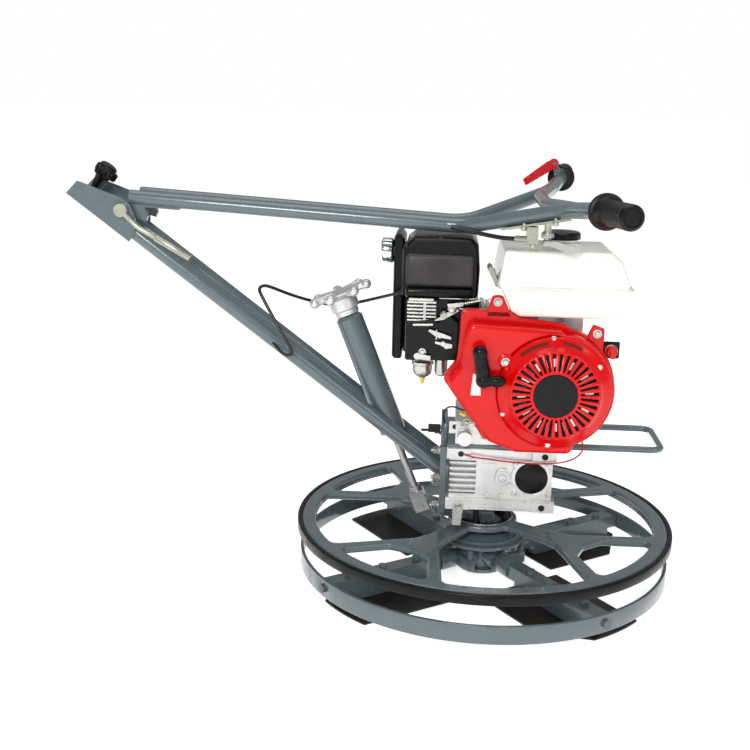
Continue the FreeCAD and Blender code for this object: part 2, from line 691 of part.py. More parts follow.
def intake_side():
    slab("air_cleaner", "XZ_Plane", [(-137, 456), (-23, 456), (-23, 546), (-137, 546)], 132, -60, soften=9)
    slab("muffler", "XZ_Plane", [(-156, 340), (-139.5, 340), (-139.5, 352), (-96, 352), (-96, 452),
                                 (-138.5, 452), (-138.5, 540), (-156, 540)], 98, -120, soften=4)
    outlet = [(13, 0), (16.5, 0), (20, 3), (20, 18), (16, 20), (13, 20)]
    turned("exhaust_outlet", outlet, (-156, 40, 512), Rotation(Vector(0, 1, 0), -90))
    cover = [(-132, 362), (-50, 364), (-50, 424), (-84, 452), (-132, 452)]
    slab("control_cover", "XZ_Plane", cover, 18, 60, soften=3)
    throat = fuse(box(-124, -66, -60, -44, 358, 424), rod((-104, -56, 330), (-104, -56, 358), 13),
                  cone((-104, -56, 324), (-104, -56, 330), 4, 12), rod((-76, -56, 334), (-76, -56, 358), 9.5),
                  box(-116, -78, -44, -4, 380, 424), box(-112, -82, -40, -8, 420, 456))
    feature("carburettor", throat)
    link = fuse(rod((-60, -84, 448), (-2, -84, 452), 1.6), rod((-28, -84, 450), (2, -84, 446), 4.5),
                box(-60, -52, -87, -62, 440, 456))
    feature("governor_linkage", link)


def engine_levers():
    feature("choke_lever", fuse(rod((-79, -78.3, 404), (-79, -86, 404), 5), prism([(-82, -86, 400), (-60,
            -86, 384),
            (-56, -86, 389), (-76, -86, 409)], (0, 3, 0))))
    feature("fuel_valve_lever", fuse(rod((-112, -78.3, 372), (-112, -86, 372), 5), prism([(-115, -86,
            368), (-92, -86, 366),
            (-92, -86, 373), (-112, -86, 376)], (0, 3, 0))))
    x, z = size("switch_x"), size("switch_z")
    switch = fuse(rod((x, -104.4, z), (x, -124, z), 9), box(x - 4, x + 4, -130, -122, z - 8, z + 8))
    switch = fuse(switch, rod((x, -98, z), (x, -106, z), 3))
    feature("kill_switch", switch)
    top, elbow, tail = (-22, -158, 403), (-14.5, -158, 353), (9, -158.4, 356.5)
    grip = fuse(rod(top, elbow, 9), ball(top, 9), ball(elbow, 9), rod(elbow, tail, 8), ball(tail, 8))
    feature("recoil_grip", grip)


def belt_side():
    cx, cz, wx, wz = size("crank_x"), size("crank_z"), size("worm_x"), size("worm_z")

    def hull(r_top, r_low, y0, y1):
        slant = math.atan2(cx - wx, cz - wz)
        side = (math.cos(slant), -math.sin(slant))
        quad = [(wx - side[0] * r_low, wz - side[1] * r_low), (wx + side[0] * r_low, wz + side[1] * r_low),
                (cx + side[0] * r_top, cz + side[1] * r_top), (cx - side[0] * r_top, cz - side[1] * r_top)]
        return fuse(side_prism(quad, y0, y1), rod((cx, y0, cz), (cx, y1, cz), r_top),
                    rod((wx, y0, wz), (wx, y1, wz), r_low))
    belt = cut(hull(43, 50.4, 109, 119), hull(37.2, 44.6, 108, 120))
    feature("drive_belt", belt)
    guard = cut(hull(62, 57, 92, 146), hull(59, 54, 95, 143), rod((cx, 90, cz), (cx, 96, cz), 24),
                rod((wx, 90, wz), (wx, 96, wz), 24))
    guard = fuse(guard, box(20, 60, 78, 95, 236, 256))
    feature("belt_guard", cut(guard, hull(59, 54, 95, 143)))


def fasteners():
    bits = []
    for y in (-52, 52):
        for z in (124, 170, 215):
            bits.append(fuse(rod((-79.5, y, z), (-63, y, z), 4.6), rod((-79.5, y, z), (-72, y, z), 8)))
    for x in (-30, 95):
        for y in (-50, 50):
            bits.append(fuse(rod((x, y, 228), (x, y, 233), 4.4)))
    strap = fuse(rod((-41, -76, 136), (-41, -64, 136), 3.8), rod((-41, -82, 136), (-41, -75, 136), 7.5),
                 prism([(-51, -77.5, 141), (-33, -77.5, 141), (-36, -77.5, 103), (-51, -77.5, 103)],
                       (0, 2.5, 0)))
    bits.append(strap)
    feature("frame_fasteners", bits)


# ---------------------------------------------------------------- upper handle
def handle_frame():
    outer, inner = size("handle_od") / 2, size("handle_od") / 2 - size("tube_wall")
    gap = size("rail_half_gap")
    # two side tubes run into the grips; a U-shaped cross tube joins them
    bow = [(104, -208, 606.4), (69, -62, 599.5), (69, 62, 599.5), (104, 208, 606.4)]
    whole = pipe(bend_path(bow, [62, 62]), size("bow_od") / 2)
    for side in (-1, 1):
        points = [(-556, side * gap, 591.5), (-46, side * gap, 561), (91.1, side * 152, 600.9),
                  (120.9, side * 280, 613.64), (137.5, side * 390, 617.6)]
        tube = pipe(bend_path(points, [70, 110, 60]), outer)
        tube = tube.cut(rod((-565, side * gap, 592.04), (-110, side * gap, 564.83), inner))
        whole = whole.fuse(tube)
    ear = [(-574, 568), (-567, 564.5), (-556, 562), (-545, 560), (-532, 556), (-529, 563), (-534, 577),
           (-480, 574),
           (-480, 581), (-552, 586), (-566, 584), (-575, 578)]
    for y in (-34, 24):
        plate = side_prism(ear, y, y + 10)
        for side in (-1, 1):
            plate = plate.cut(rod((-565, side * gap, 592.04), (-110, side * gap, 564.83), inner))
        whole = whole.fuse(plate)
    # stop-lever bracket and its pivot
    post = side_prism([(113, 610), (125, 612), (112, 647), (101, 645)], 276.5, 280.5)
    whole = whole.fuse(post).fuse(rod((107, 263, 640), (107, 279, 640), 3))
    whole = cut(whole, rod((FOLD.x, -60, FOLD.z), (FOLD.x, 60, FOLD.z), size("fold_pin_half") + 0.3))
    feature("handle_frame", max(whole.Solids, key=lambda s: s.Volume))


def grips():
    for label, side in (("grip_near", -1), ("grip_far", 1)):
        run = Vector(16.6, side * 110, 3.96).normalize()
        start = Vector(120.9, side * 280, 613.64).add(run * 4.5)
        profile = [("grip_bore", 0), (19, 0), ("flange_grip", 5), ("flange_grip", 12), (19, 17),
                   ("grip_half", 22),
                   ("grip_half", 108), (13, 113), (0, 113), (0, 110), ("grip_bore", 110)]
        turned(label, profile, (start.x, start.y, start.z), Rotation(Vector(0, 0, 1), run))


def handle_controls():
    # the disc's seam is turned clear of the lever's arm
    disc = spun(rod((FOLD.x, -56, FOLD.z), (FOLD.x, -45.8, FOLD.z), 10), 140, (FOLD.x, 0, FOLD.z), (0, 1, 0))
    pin = rod((FOLD.x, -52, FOLD.z), (FOLD.x, 50, FOLD.z), size("fold_pin_half"))
    lever = fuse(pin, disc, rod((FOLD.x, 46, FOLD.z), (FOLD.x, 53, FOLD.z), 9.5))
    arm = pipe(bend_path([(FOLD.x + 4, -51.6, FOLD.z - 4), (-539, -52, 548), (-500, -52, 526.25)], [9]), 4)
    sleeve = rod((-513, -52, 533.5), (-461, -52, 504.5), 5.5)
    lever = fuse(lever, arm, sleeve)
    feature("fold_lock_lever", lever)
    knob = fuse(rod(on_rail(61, -11), on_rail(61, 24), 5), rod(on_rail(61, 6.6), on_rail(61, 38), 10.5),
                rod(on_rail(61, 35), on_rail(61, 45), 14))
    point = on_rail(61, 40)
    for i in range(5):
        arm = rod(on_rail(61, 35.5, 13), on_rail(61, 44.5, 13), 4)
        knob = fuse(knob, spun(arm, 72 * i, point, tuple(OFF_RAIL)))
    feature("clamp_knob", knob)


def throttle_parts():
    # saddle plate under the near tube with its two screws, cable barrel, brass stop screw and spindle
    tube_a, tube_b = Vector(13.8, -82.6, 578.4), Vector(65.3, -128.9, 593.4)
    run = tube_b.sub(tube_a)
    side = Vector(-run.y, run.x, 0).normalize()
    corners = []
    for share, lean in ((0.0, -1), (1.42, -1), (1.42, 1), (0.0, 1)):
        spot = tube_a.add(run * share).add(side * 16 * lean)
        corners.append((spot.x, spot.y, spot.z - 14.6))
    parts = prism(corners, (0, 0, 3.1))
    for share in (0.575, 1.36):
        spot = tube_a.add(run * share).sub(side * 13.9)
        parts = parts.fuse(rod((spot.x, spot.y, spot.z - 20), (spot.x, spot.y, spot.z - 9), 2.3))
        parts = parts.fuse(rod((spot.x, spot.y, spot.z - 19), (spot.x, spot.y, spot.z - 14), 4.6))
    barrel = rod((24, -108, 554.5), (46, -121, 556), 4.5)
    block = box(38, 54, -128, -112, 550, 573.5)
    stop_screw = fuse(rod((47, -125, 544), (47, -125, 551), 2.2), rod((47, -125, 546.5), (47, -125, 549), 4))
    spindle = fuse(rod((67, -128, 556), (67, -128, 581.5), 5), rod((67, -128, 560), (67, -128, 566), 9))
    parts = fuse(parts, barrel, block, stop_screw, spindle)
    feature("throttle_bracket", max(parts.Solids, key=lambda s: s.Volume))
    hub = rod((67, -128, 549), (67, -128, 555.6), 7)
    strip = box(62, 114, -136, -124, 550, 553)
    blade = side_prism([(62, 555.6), (79, 555.6), (105, 549), (105.5, 542.8), (103.5, 536.6),
                        (76, 547.5), (62, 551)],
                       -139, -135.5)
    tab = box(106, 114, -130, -124, 541, 553)
    feature("throttle_lever", fuse(hub, strip, blade, tab))


def stop_lever():
    # flat stop lever with a boss, turning on the short bracket beside the far grip
    hub = rod((107, 266, 640), (107, 276, 640), 8)
    handle = prism([(54, 267, 606), (58, 267, 600), (104, 267, 634), (101, 267, 641)], (0, 8, 0))
    feature("stop_lever", cut(fuse(hub, handle), rod((107, 260, 640), (107, 280, 640), 3.4)))


def cords():
    flex("throttle_cable_upper", [(-68, -44.5, 562.5), (-46, -49, 557.5), (-16, -67, 553.6), (8, -93, 552.6),
                                  (25, -108.6, 554.6)], 6.5)
    loop = [(-339, -36, 377.5), (-326, -49, 365), (-313, -53, 357), (-304, -54, 362), (-308.5, -53, 373.5),
            (-328, -47, 403), (-355, -33, 446), (-360.5, -28, 456.5), (-354, -21, 461), (-343, -14, 457),
            (-317, 8, 442.1), (-291, 36, 428.8), (-265, 55, 419.2), (-237, 62, 417.8), (-208, 57, 425.1),
            (-181, 41, 435.1), (-158, 17, 445.2), (-136.5, -8, 455.6)]
    flex("throttle_cable_lower", loop, 5)
    flex("stop_wire_red", [(-40.4, -61, 219), (-40.4, -79, 219.4), (-22, -84, 216.4), (6, -83, 213.2),
                           (36, -84, 210.6), (66, -83, 209.2), (96, -84, 210.4), (122, -87, 216.6),
                           (139, -89, 228), (144, -85, 242), (136, -78, 255), (121, -72, 264)], 2.4)
    flex("stop_wire_black", [(-67, -45, 258), (-71, -50, 273), (-65, -60, 287), (-54, -72, 292.5),
                             (-43, -84, 291), (-33, -93, 292)], 2.6)


gearbox_housing()
gearbox_small_parts()
guard_bearing()
output_shaft()
worm_shaft()
bracket_plate()
rails()
pitch_column()
head_bracket()
base_and_bail()
pitch_handwheel()
pitch_rod()
pitch_yoke()
thrust_collar()
spider_hub()
stabiliser_ring()
ring_bolts()
trowel_arms()
trowel_blades()
guard_ring()
crankcase()
crankshaft()
blower_housing()
recoil_cover()
fuel_tank()
intake_side()
engine_levers()
belt_side()
fasteners()
handle_frame()
grips()
handle_controls()
throttle_parts()
stop_lever()
cords()
doc.recompute()


# ---------------------------------------------------------------- checks and export
def check_everything():
    bad = [o.Label for o in doc.Objects if "Invalid" in o.State or "Error" in o.State]
    for item in NODES:
        if item.Shape.isNull() or not item.Shape.isValid() or not item.Shape.Solids:
            bad.append(item.Label)
    if bad:
        raise ValueError("failed: %s" % sorted(set(bad)))


check_everything()
os.makedirs("parts", exist_ok=True)
whole = FreeCAD.BoundBox()
for item in NODES:
    item.Shape.exportStep("parts/%s.step" % item.Label)
    whole.add(item.Shape.BoundBox)
    print("%-26s solids %d volume %.0f" % (item.Label, len(item.Shape.Solids), item.Shape.Volume))
print("pieces", len(NODES), "box", whole)
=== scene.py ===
import json
import math
import bmesh
import bpy
from mathutils import Matrix, Vector


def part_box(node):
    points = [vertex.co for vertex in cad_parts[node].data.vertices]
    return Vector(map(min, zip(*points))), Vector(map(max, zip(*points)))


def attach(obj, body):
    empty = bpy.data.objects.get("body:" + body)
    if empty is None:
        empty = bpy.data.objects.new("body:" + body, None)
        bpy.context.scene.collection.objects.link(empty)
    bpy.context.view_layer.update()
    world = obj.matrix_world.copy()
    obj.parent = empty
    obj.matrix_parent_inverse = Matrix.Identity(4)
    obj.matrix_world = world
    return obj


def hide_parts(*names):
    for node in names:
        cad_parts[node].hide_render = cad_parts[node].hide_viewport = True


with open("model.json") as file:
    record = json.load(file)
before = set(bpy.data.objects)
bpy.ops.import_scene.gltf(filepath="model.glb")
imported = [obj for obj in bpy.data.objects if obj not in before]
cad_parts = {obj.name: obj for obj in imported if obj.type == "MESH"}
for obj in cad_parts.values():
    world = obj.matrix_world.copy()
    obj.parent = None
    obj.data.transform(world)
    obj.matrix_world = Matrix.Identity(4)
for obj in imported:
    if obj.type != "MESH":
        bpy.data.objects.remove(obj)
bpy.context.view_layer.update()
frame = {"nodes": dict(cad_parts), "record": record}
NODES = frame["nodes"]

# Lengths below are millimetres from the rotor's axis (x, y) and the slab (z).
SHAFT_LOW, SHAFT_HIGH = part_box("output_shaft")
AXIS_X = (SHAFT_LOW.x + SHAFT_HIGH.x) / 2
AXIS_Y = (SHAFT_LOW.y + SHAFT_HIGH.y) / 2
MM = 0.001
CRANK_X, CRANK_Z = 88.5, 339.0
ARM_ANGLES = [35.4 + 90 * i for i in range(4)]
SPOKE_ANGLES = [54.2 + 90 * i for i in range(4)]
FRONT = (0, -1, 0)
BACK = (0, 1, 0)
UP = (0, 0, 1)


def at(x, y, z):
    return Vector((AXIS_X + x * MM, AXIS_Y + y * MM, z * MM))


# ------------------------------------------------------------------ materials
def add_node(tree, kind, **values):
    node = tree.nodes.new(kind)
    for key, value in values.items():
        node.inputs[key].default_value = value
    return node


def noise(tree, scale, detail=4.0, rough=0.55):
    coords = tree.nodes.new("ShaderNodeTexCoord")
    texture = add_node(tree, "ShaderNodeTexNoise", Scale=scale, Detail=detail, Roughness=rough)
    tree.links.new(coords.outputs["Object"], texture.inputs["Vector"])
    return texture.outputs["Fac"]


def spread(tree, value, low, high, out_low, out_high):
    ramp = tree.nodes.new("ShaderNodeMapRange")
    ramp.inputs["From Min"].default_value = low
    ramp.inputs["From Max"].default_value = high
    ramp.inputs["To Min"].default_value = out_low
    ramp.inputs["To Max"].default_value = out_high
    tree.links.new(value, ramp.inputs["Value"])
    return ramp.outputs["Result"]


def mixed(tree, share, first, second):
    mix = tree.nodes.new("ShaderNodeMix")
    mix.data_type = "RGBA"
    tree.links.new(share, mix.inputs["Factor"])
    for socket, value in ((mix.inputs["A"], first), (mix.inputs["B"], second)):
        if isinstance(value, tuple):
            socket.default_value = (*value, 1)
        else:
            tree.links.new(value, socket)
    return mix.outputs["Result"]


def tint(color, share):
    return tuple(min(1.0, c * share) for c in color)


def material(name, color, rough, metal=0.0, coat=0.0, mottle=0.12, grain=0.15, grain_scale=900,
             wear=None, wear_share=0.7, shine=0.5):
    # mottle is the patchiness of the colour, grain the height of the fine bumps, shine the specular level
    look = bpy.data.materials.new(name)
    look.use_nodes = True
    tree = look.node_tree
    shader = tree.nodes["Principled BSDF"]
    shader.inputs["Metallic"].default_value = metal
    shader.inputs["Coat Weight"].default_value = coat
    shader.inputs["Coat Roughness"].default_value = 0.08
    shader.inputs["Specular IOR Level"].default_value = shine
    patches = spread(tree, noise(tree, 22), 0.3, 0.7, 0, 1)
    base = mixed(tree, patches, tint(color, 1 - mottle), tint(color, 1 + mottle))
    if wear:
        chips = spread(tree, noise(tree, 160, 6, 0.7), wear_share, wear_share + 0.05, 0, 1)
        base = mixed(tree, chips, base, wear)
    tree.links.new(base, shader.inputs["Base Color"])
    smears = spread(tree, noise(tree, 70), 0.3, 0.7, rough * 0.8, rough * 1.2)
    tree.links.new(smears, shader.inputs["Roughness"])
    bump = add_node(tree, "ShaderNodeBump", Strength=grain, Distance=0.0006)
    tree.links.new(noise(tree, grain_scale, 2), bump.inputs["Height"])
    tree.links.new(bump.outputs["Normal"], shader.inputs["Normal"])
    return look


LOOKS = {
    "grey_paint": material("grey_enamel", (0.085, 0.12, 0.132), 0.26, coat=0.5, mottle=0.08, grain=0.05,
                           grain_scale=200),
    "red_paint": material("red_enamel", (0.62, 0.001, 0.002), 0.2, coat=0.06, shine=0.3, mottle=0.05,
                          grain=0.04, grain_scale=200),
    "black_paint": material("black_enamel", (0.003, 0.003, 0.004), 0.3, shine=0.22, grain=0.1),
    "cast_alloy": material("cast_alloy", (0.66, 0.66, 0.65), 0.34, metal=0.7, grain=0.2, grain_scale=500,
                           mottle=0.18, wear=(0.3, 0.3, 0.29)),
    "zinc": material("zinc_plate", (0.5, 0.51, 0.47), 0.24, metal=0.9, grain=0.05, mottle=0.2),
    "steel": material("machined_steel", (0.4, 0.4, 0.4), 0.3, metal=0.9, grain=0.05),
    "dark_steel": material("spring_steel", (0.014, 0.010, 0.007), 0.34, shine=0.3, grain=0.12, mottle=0.5,
                           wear=(0.07, 0.045, 0.03), wear_share=0.68),
    "chrome": material("chrome", (0.72, 0.76, 0.76), 0.12, metal=1.0, mottle=0.04, grain=0.02),
    "tank_white": material("cream_enamel", (0.86, 0.85, 0.77), 0.26, coat=0.4, mottle=0.02, grain=0.03,
                           grain_scale=200),
    "black_plastic": material("black_plastic", (0.003, 0.003, 0.0035), 0.26, shine=0.22, grain=0.14,
                              grain_scale=1400),
    "rubber": material("black_rubber", (0.004, 0.004, 0.004), 0.34, shine=0.25, grain=0.2, grain_scale=1200),
    "tyre": material("black_band", (0.003, 0.003, 0.0035), 0.3, shine=0.2, grain=0.12, grain_scale=500),
    "red_plastic": material("red_plastic", (0.55, 0.002, 0.003), 0.25, shine=0.35, mottle=0.04, grain=0.04),
    "wire_red": material("red_insulation", (0.5, 0.01, 0.015), 0.35, grain=0.03),
    "wire_black": material("black_sheath", (0.006, 0.006, 0.006), 0.3, grain=0.05),
    "panel": material("satin_panel", (0.035, 0.03, 0.035), 0.42, shine=0.3, grain=0.12, mottle=0.4),
    "brass": material("brass", (0.7, 0.5, 0.16), 0.28, metal=0.9, grain=0.05),
    "yellow": material("yellow_plastic", (0.8, 0.62, 0.03), 0.35, mottle=0.04, grain=0.04),
    "decal": material("blank_label", (0.75, 0.75, 0.73), 0.35, mottle=0.02, grain=0.0),
    # painted shade: a near-black look laid on flat discs and slabs where holes, slots and openings show
    # shadow
    "hole_shade": material("painted_hole_shade", (0.003, 0.003, 0.003), 0.7, mottle=0.1, grain=0.1),
    "clip_grey": material("grey_plastic", (0.1, 0.105, 0.105), 0.4, grain=0.1),
    "khaki": material("aged_zinc", (0.36, 0.37, 0.29), 0.3, metal=0.7, grain=0.1, mottle=0.25),
}

# The floor glows a little, so that it reads as pale as the backdrop.
FLOOR = material("pale_floor", (0.9, 0.9, 0.9), 0.7, mottle=0.003, grain=0.0)
GLOW = FLOOR.node_tree.nodes["Principled BSDF"].inputs
GLOW["Emission Color"].default_value = (1, 1, 1, 1)
GLOW["Emission Strength"].default_value = 0.7
GLOW["Specular IOR Level"].default_value = 0.0


# ------------------------------------------------------------------ shape builder
class Shape:
    """Collects closed solids in millimetres, each face with a look."""

    def __init__(self, *looks):
        self.mesh = bmesh.new()
        self.looks = list(looks)

    def solid(self, rings, look=None, closed=False):
        index = self.looks.index(look) if look else 0
        rows = [[self.mesh.verts.new(at(*p)) for p in ring] for ring in rings]
        faces = []
        count = len(rows[0])
        spans = len(rows) if closed else len(rows) - 1
        for i in range(spans):
            here, after = rows[i], rows[(i + 1) % len(rows)]
            for j in range(count):
                k = (j + 1) % count
                faces.append(self.mesh.faces.new((here[j], here[k], after[k], after[j])))
        if not closed:
            faces.append(self.mesh.faces.new(list(reversed(rows[0]))))
            faces.append(self.mesh.faces.new(rows[-1]))
        for face in faces:
            face.material_index = index

    def box(self, low, high, look=None):
        (x0, y0, z0), (x1, y1, z1) = low, high
        base = [(x0, y0, z0), (x1, y0, z0), (x1, y1, z0), (x0, y1, z0)]
        self.solid([base, [(x, y, z1) for x, y, _ in base]], look)

    def prism(self, points, push, look=None):
        far = [tuple(a + b for a, b in zip(p, push)) for p in points]
        self.solid([points, far], look)

    def slab(self, outline, y, depth, look=None):
        # an outline in (x, z) pushed along Y
        self.prism([(x, y, z) for x, z in outline], (0, depth, 0), look)

    def turned(self, start, along, rows, look=None, sides=48):
        # rows are (height, radius) pairs along the direction
        axis = Vector(along).normalized()
        side = axis.orthogonal().normalized()
        other = axis.cross(side)
        rings = []
        for height, radius in rows:
            middle = Vector(start) + axis * height
            ring = []
            for i in range(sides):
                turn = 2 * math.pi * i / sides
                ring.append(tuple(middle + side * radius * math.cos(turn) + other * radius * math.sin(turn)))
            rings.append(ring)
        self.solid(rings, look)

    def rod(self, a, b, radius, look=None, sides=32):
        run = Vector(b) - Vector(a)
        self.turned(a, run, [(0, radius), (run.length, radius)], look, sides)

    def ball(self, spot, radius, look=None):
        rows = []
        for i in range(1, 12):
            lift = math.pi * i / 12
            rows.append((radius - radius * math.cos(lift), radius * math.sin(lift)))
        start = (spot[0], spot[1], spot[2] - radius)
        self.turned(start, UP, rows, look, 24)

    def ring(self, start, along, outer, inner, height, look=None, sides=64):
        axis = Vector(along).normalized()
        side = axis.orthogonal().normalized()
        other = axis.cross(side)
        rings = []
        for i in range(sides):
            turn = 2 * math.pi * i / sides
            out = side * math.cos(turn) + other * math.sin(turn)
            low, high = Vector(start), Vector(start) + axis * height
            rings.append([tuple(low + out * inner), tuple(low + out * outer), tuple(high + out * outer),
                          tuple(high + out * inner)])
        self.solid(rings, look, closed=True)

    def lathe(self, base, outline, look=None, sides=96):
        # a closed (radius, height) outline turned about Z
        rings = []
        for i in range(sides):
            turn = 2 * math.pi * i / sides
            along, across = math.cos(turn), math.sin(turn)
            rings.append([(base[0] + radius * along, base[1] + radius * across, base[2] + height)
                          for radius, height in outline])
        self.solid(rings, look, closed=True)

    def pillow(self, profile, rows, look=None, limit=None):
        # an outline in (x, z) carried along Y; rows are (y, inset), limit(y) is the highest z
        rings = []
        for y, amount in rows:
            top = limit(y) if limit else 1e9
            rings.append([(x, y, min(z, top)) for x, z in inset(profile, amount)])
        self.solid(rings, look)

    def hex_bolt(self, spot, along, across, height, look=None, washer=0.0, stub=0.0):
        axis = Vector(along).normalized()
        foot = Vector(spot)
        if washer:
            self.turned(tuple(foot), along, [(0, washer), (1.4, washer)], look, 32)
            foot = foot + axis * 1.4
        radius = across / math.sqrt(3)
        head = [(0, radius), (height * 0.85, radius), (height, radius * 0.86)]
        self.turned(tuple(foot), along, head, look, 6)
        if stub:
            thread = across * 0.28
            self.turned(tuple(foot + axis * height), along, [(0, thread), (stub, thread)], look, 20)

    def finish(self, name, body, bevel=0.0, smooth=35, replaces=()):
        bmesh.ops.recalc_face_normals(self.mesh, faces=self.mesh.faces)
        mesh = bpy.data.meshes.new(name)
        self.mesh.to_mesh(mesh)
        self.mesh.free()
        for look in self.looks:
            mesh.materials.append(LOOKS[look])
        return settle(name, mesh, body, bevel, smooth, replaces)


def settle(name, mesh, body, bevel, smooth, replaces):
    for face in mesh.polygons:
        face.use_smooth = True
    mesh.set_sharp_from_angle(angle=math.radians(smooth))
    piece = bpy.data.objects.new(name, mesh)
    bpy.context.scene.collection.objects.link(piece)
    if bevel:
        rounding = piece.modifiers.new("rounding", "BEVEL")
        rounding.width = bevel * MM
        rounding.segments = 3
        rounding.limit_method = "ANGLE"
        rounding.angle_limit = math.radians(smooth)
        rounding.harden_normals = True
    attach(piece, body)
    if replaces:
        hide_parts(*replaces)
    return piece


def plate_mesh(outline, windows, depth, rounding, look, matrix):
    # a flat plate with rounded edges, from closed outlines in millimetres
    curve = bpy.data.curves.new("outline", "CURVE")
    curve.dimensions = "2D"
    curve.fill_mode = "BOTH"
    curve.extrude = (depth / 2 - rounding) * MM
    curve.bevel_depth = rounding * MM
    curve.bevel_resolution = 3
    curve.offset = -rounding * MM
    for loop in [outline] + list(windows):
        spline = curve.splines.new("POLY")
        spline.points.add(len(loop) - 1)
        for point, (u, v) in zip(spline.points, loop):
            point.co = (u * MM, v * MM, 0, 1)
        spline.use_cyclic_u = True
    holder = bpy.data.objects.new("outline", curve)
    mesh = bpy.data.meshes.new_from_object(holder)
    bpy.data.objects.remove(holder)
    mesh.transform(matrix)
    mesh.materials.clear()
    mesh.materials.append(LOOKS[look])
    return mesh


def inset(points, amount):
    # moves each side of a closed outline inwards
    turn = sum(a[0] * b[1] - b[0] * a[1] for a, b in zip(points, points[1:] + points[:1]))
    sign = 1 if turn > 0 else -1
    moved = []
    for i, point in enumerate(points):
        before, here, after = Vector(points[i - 1]), Vector(point), Vector(points[(i + 1) % len(points)])
        first, second = (here - before).normalized(), (after - here).normalized()
        a, b = Vector((-first.y, first.x)) * sign, Vector((-second.y, second.x)) * sign
        moved.append(tuple(here + (a + b) * (amount / (1 + a.dot(b)))))
    return moved


def melt(piece, voxel, passes):
    # joins overlapping solids of one casting into a smooth skin
    skin = piece.modifiers.new("skin", "REMESH")
    skin.mode = "VOXEL"
    skin.voxel_size = voxel * MM
    skin.use_smooth_shade = True
    even = piece.modifiers.new("even", "SMOOTH")
    even.iterations = passes
    even.factor = 0.5


def circle(radius, count, x=0.0, y=0.0):
    turns = [2 * math.pi * i / count for i in range(count)]
    return [(x + radius * math.cos(turn), y + radius * math.sin(turn)) for turn in turns]


def bow(radius, start, stop, steps):
    # the points between the two ends of an arc about the rotor's axis, angles in degrees
    turns = [math.radians(start + (stop - start) * i / steps) for i in range(1, steps)]
    return [(radius * math.cos(turn), radius * math.sin(turn)) for turn in turns]


def rounded(points, radius):
    # a closed polygon with each corner turned into an arc
    steps = 6
    out = []
    count = len(points)
    for i, point in enumerate(points):
        here = Vector(point)
        before = Vector(points[i - 1]) - here
        after = Vector(points[(i + 1) % count]) - here
        limit = 0.45 * min(before.length, after.length)
        before.normalize()
        after.normalize()
        half = before.angle(after) / 2
        if half > math.radians(80):
            out.append(tuple(here))
            continue
        reach = min(radius / math.tan(half), limit)
        bend = reach * math.tan(half)
        middle = here + (before + after).normalized() * (bend / math.sin(half))
        start = here + before * reach - middle
        stop = here + after * reach - middle
        total = start.angle_signed(stop)
        for k in range(steps + 1):
            turn = -total * k / steps
            out.append((middle.x + start.x * math.cos(turn) - start.y * math.sin(turn),
                        middle.y + start.x * math.sin(turn) + start.y * math.cos(turn)))
    return out


def spun(points, degrees):
    c, s = math.cos(math.radians(degrees)), math.sin(math.radians(degrees))
    return [(x * c - y * s, x * s + y * c) for x, y in points]


def rounded_box_ring(x0, x1, y0, y1, z, radius):
    loop = rounded([(x0, y0), (x1, y0), (x1, y1), (x0, y1)], radius)
    return [(x, y, z) for x, y in loop]


def soften(node, width):
    # rounds a CAD node's edges with modifiers; its mesh stays as packed
    piece = NODES[node]
    weld = piece.modifiers.new("weld", "WELD")
    weld.merge_threshold = 0.00001
    rounding = piece.modifiers.new("rounding", "BEVEL")
    rounding.width = width * MM
    rounding.segments = 2
    rounding.limit_method = "ANGLE"
    rounding.angle_limit = math.radians(32)
    rounding.use_clamp_overlap = True
    rounding.harden_normals = True


# ------------------------------------------------------------------ CAD nodes: looks and rounded edges
SLOT_OF = {s["node"]: s["material_slot"] for s in frame["record"]["subparts"]}
for node_name, piece in NODES.items():
    piece.data.materials.clear()
    piece.data.materials.append(LOOKS[SLOT_OF[node_name]])
for node_name, look in (("stabiliser_ring_bolts", "clip_grey"), ("fold_lock_lever", "khaki"),
                        ("throttle_bracket", "khaki")):
    NODES[node_name].data.materials[0] = LOOKS[look]
melt(NODES["pitch_handwheel"], 1.1, 3)

SOFT_EDGES = {
    "gearbox_housing": 1.0, "rail_bracket_plate": 1.2, "engine_base_plate": 1.2, "guard_ring_tyre": 2.0,
    "stabiliser_ring": 0.8, "spider_hub": 1.5, "pitch_yoke": 1.2, "crankcase": 2.0, "belt_guard": 2.0,
    "fold_lock_lever": 0.6, "exhaust_outlet": 0.8, "throttle_bracket": 0.4, "pitch_rod": 0.6, "fuel_cap": 1.0,
    "throttle_lever": 0.5,
}
for node_name, width in SOFT_EDGES.items():
    soften(node_name, width)
for number in range(1, 5):
    soften("trowel_arm_%d" % number, 1.2)
    soften("trowel_blade_%d" % number, 0.4)


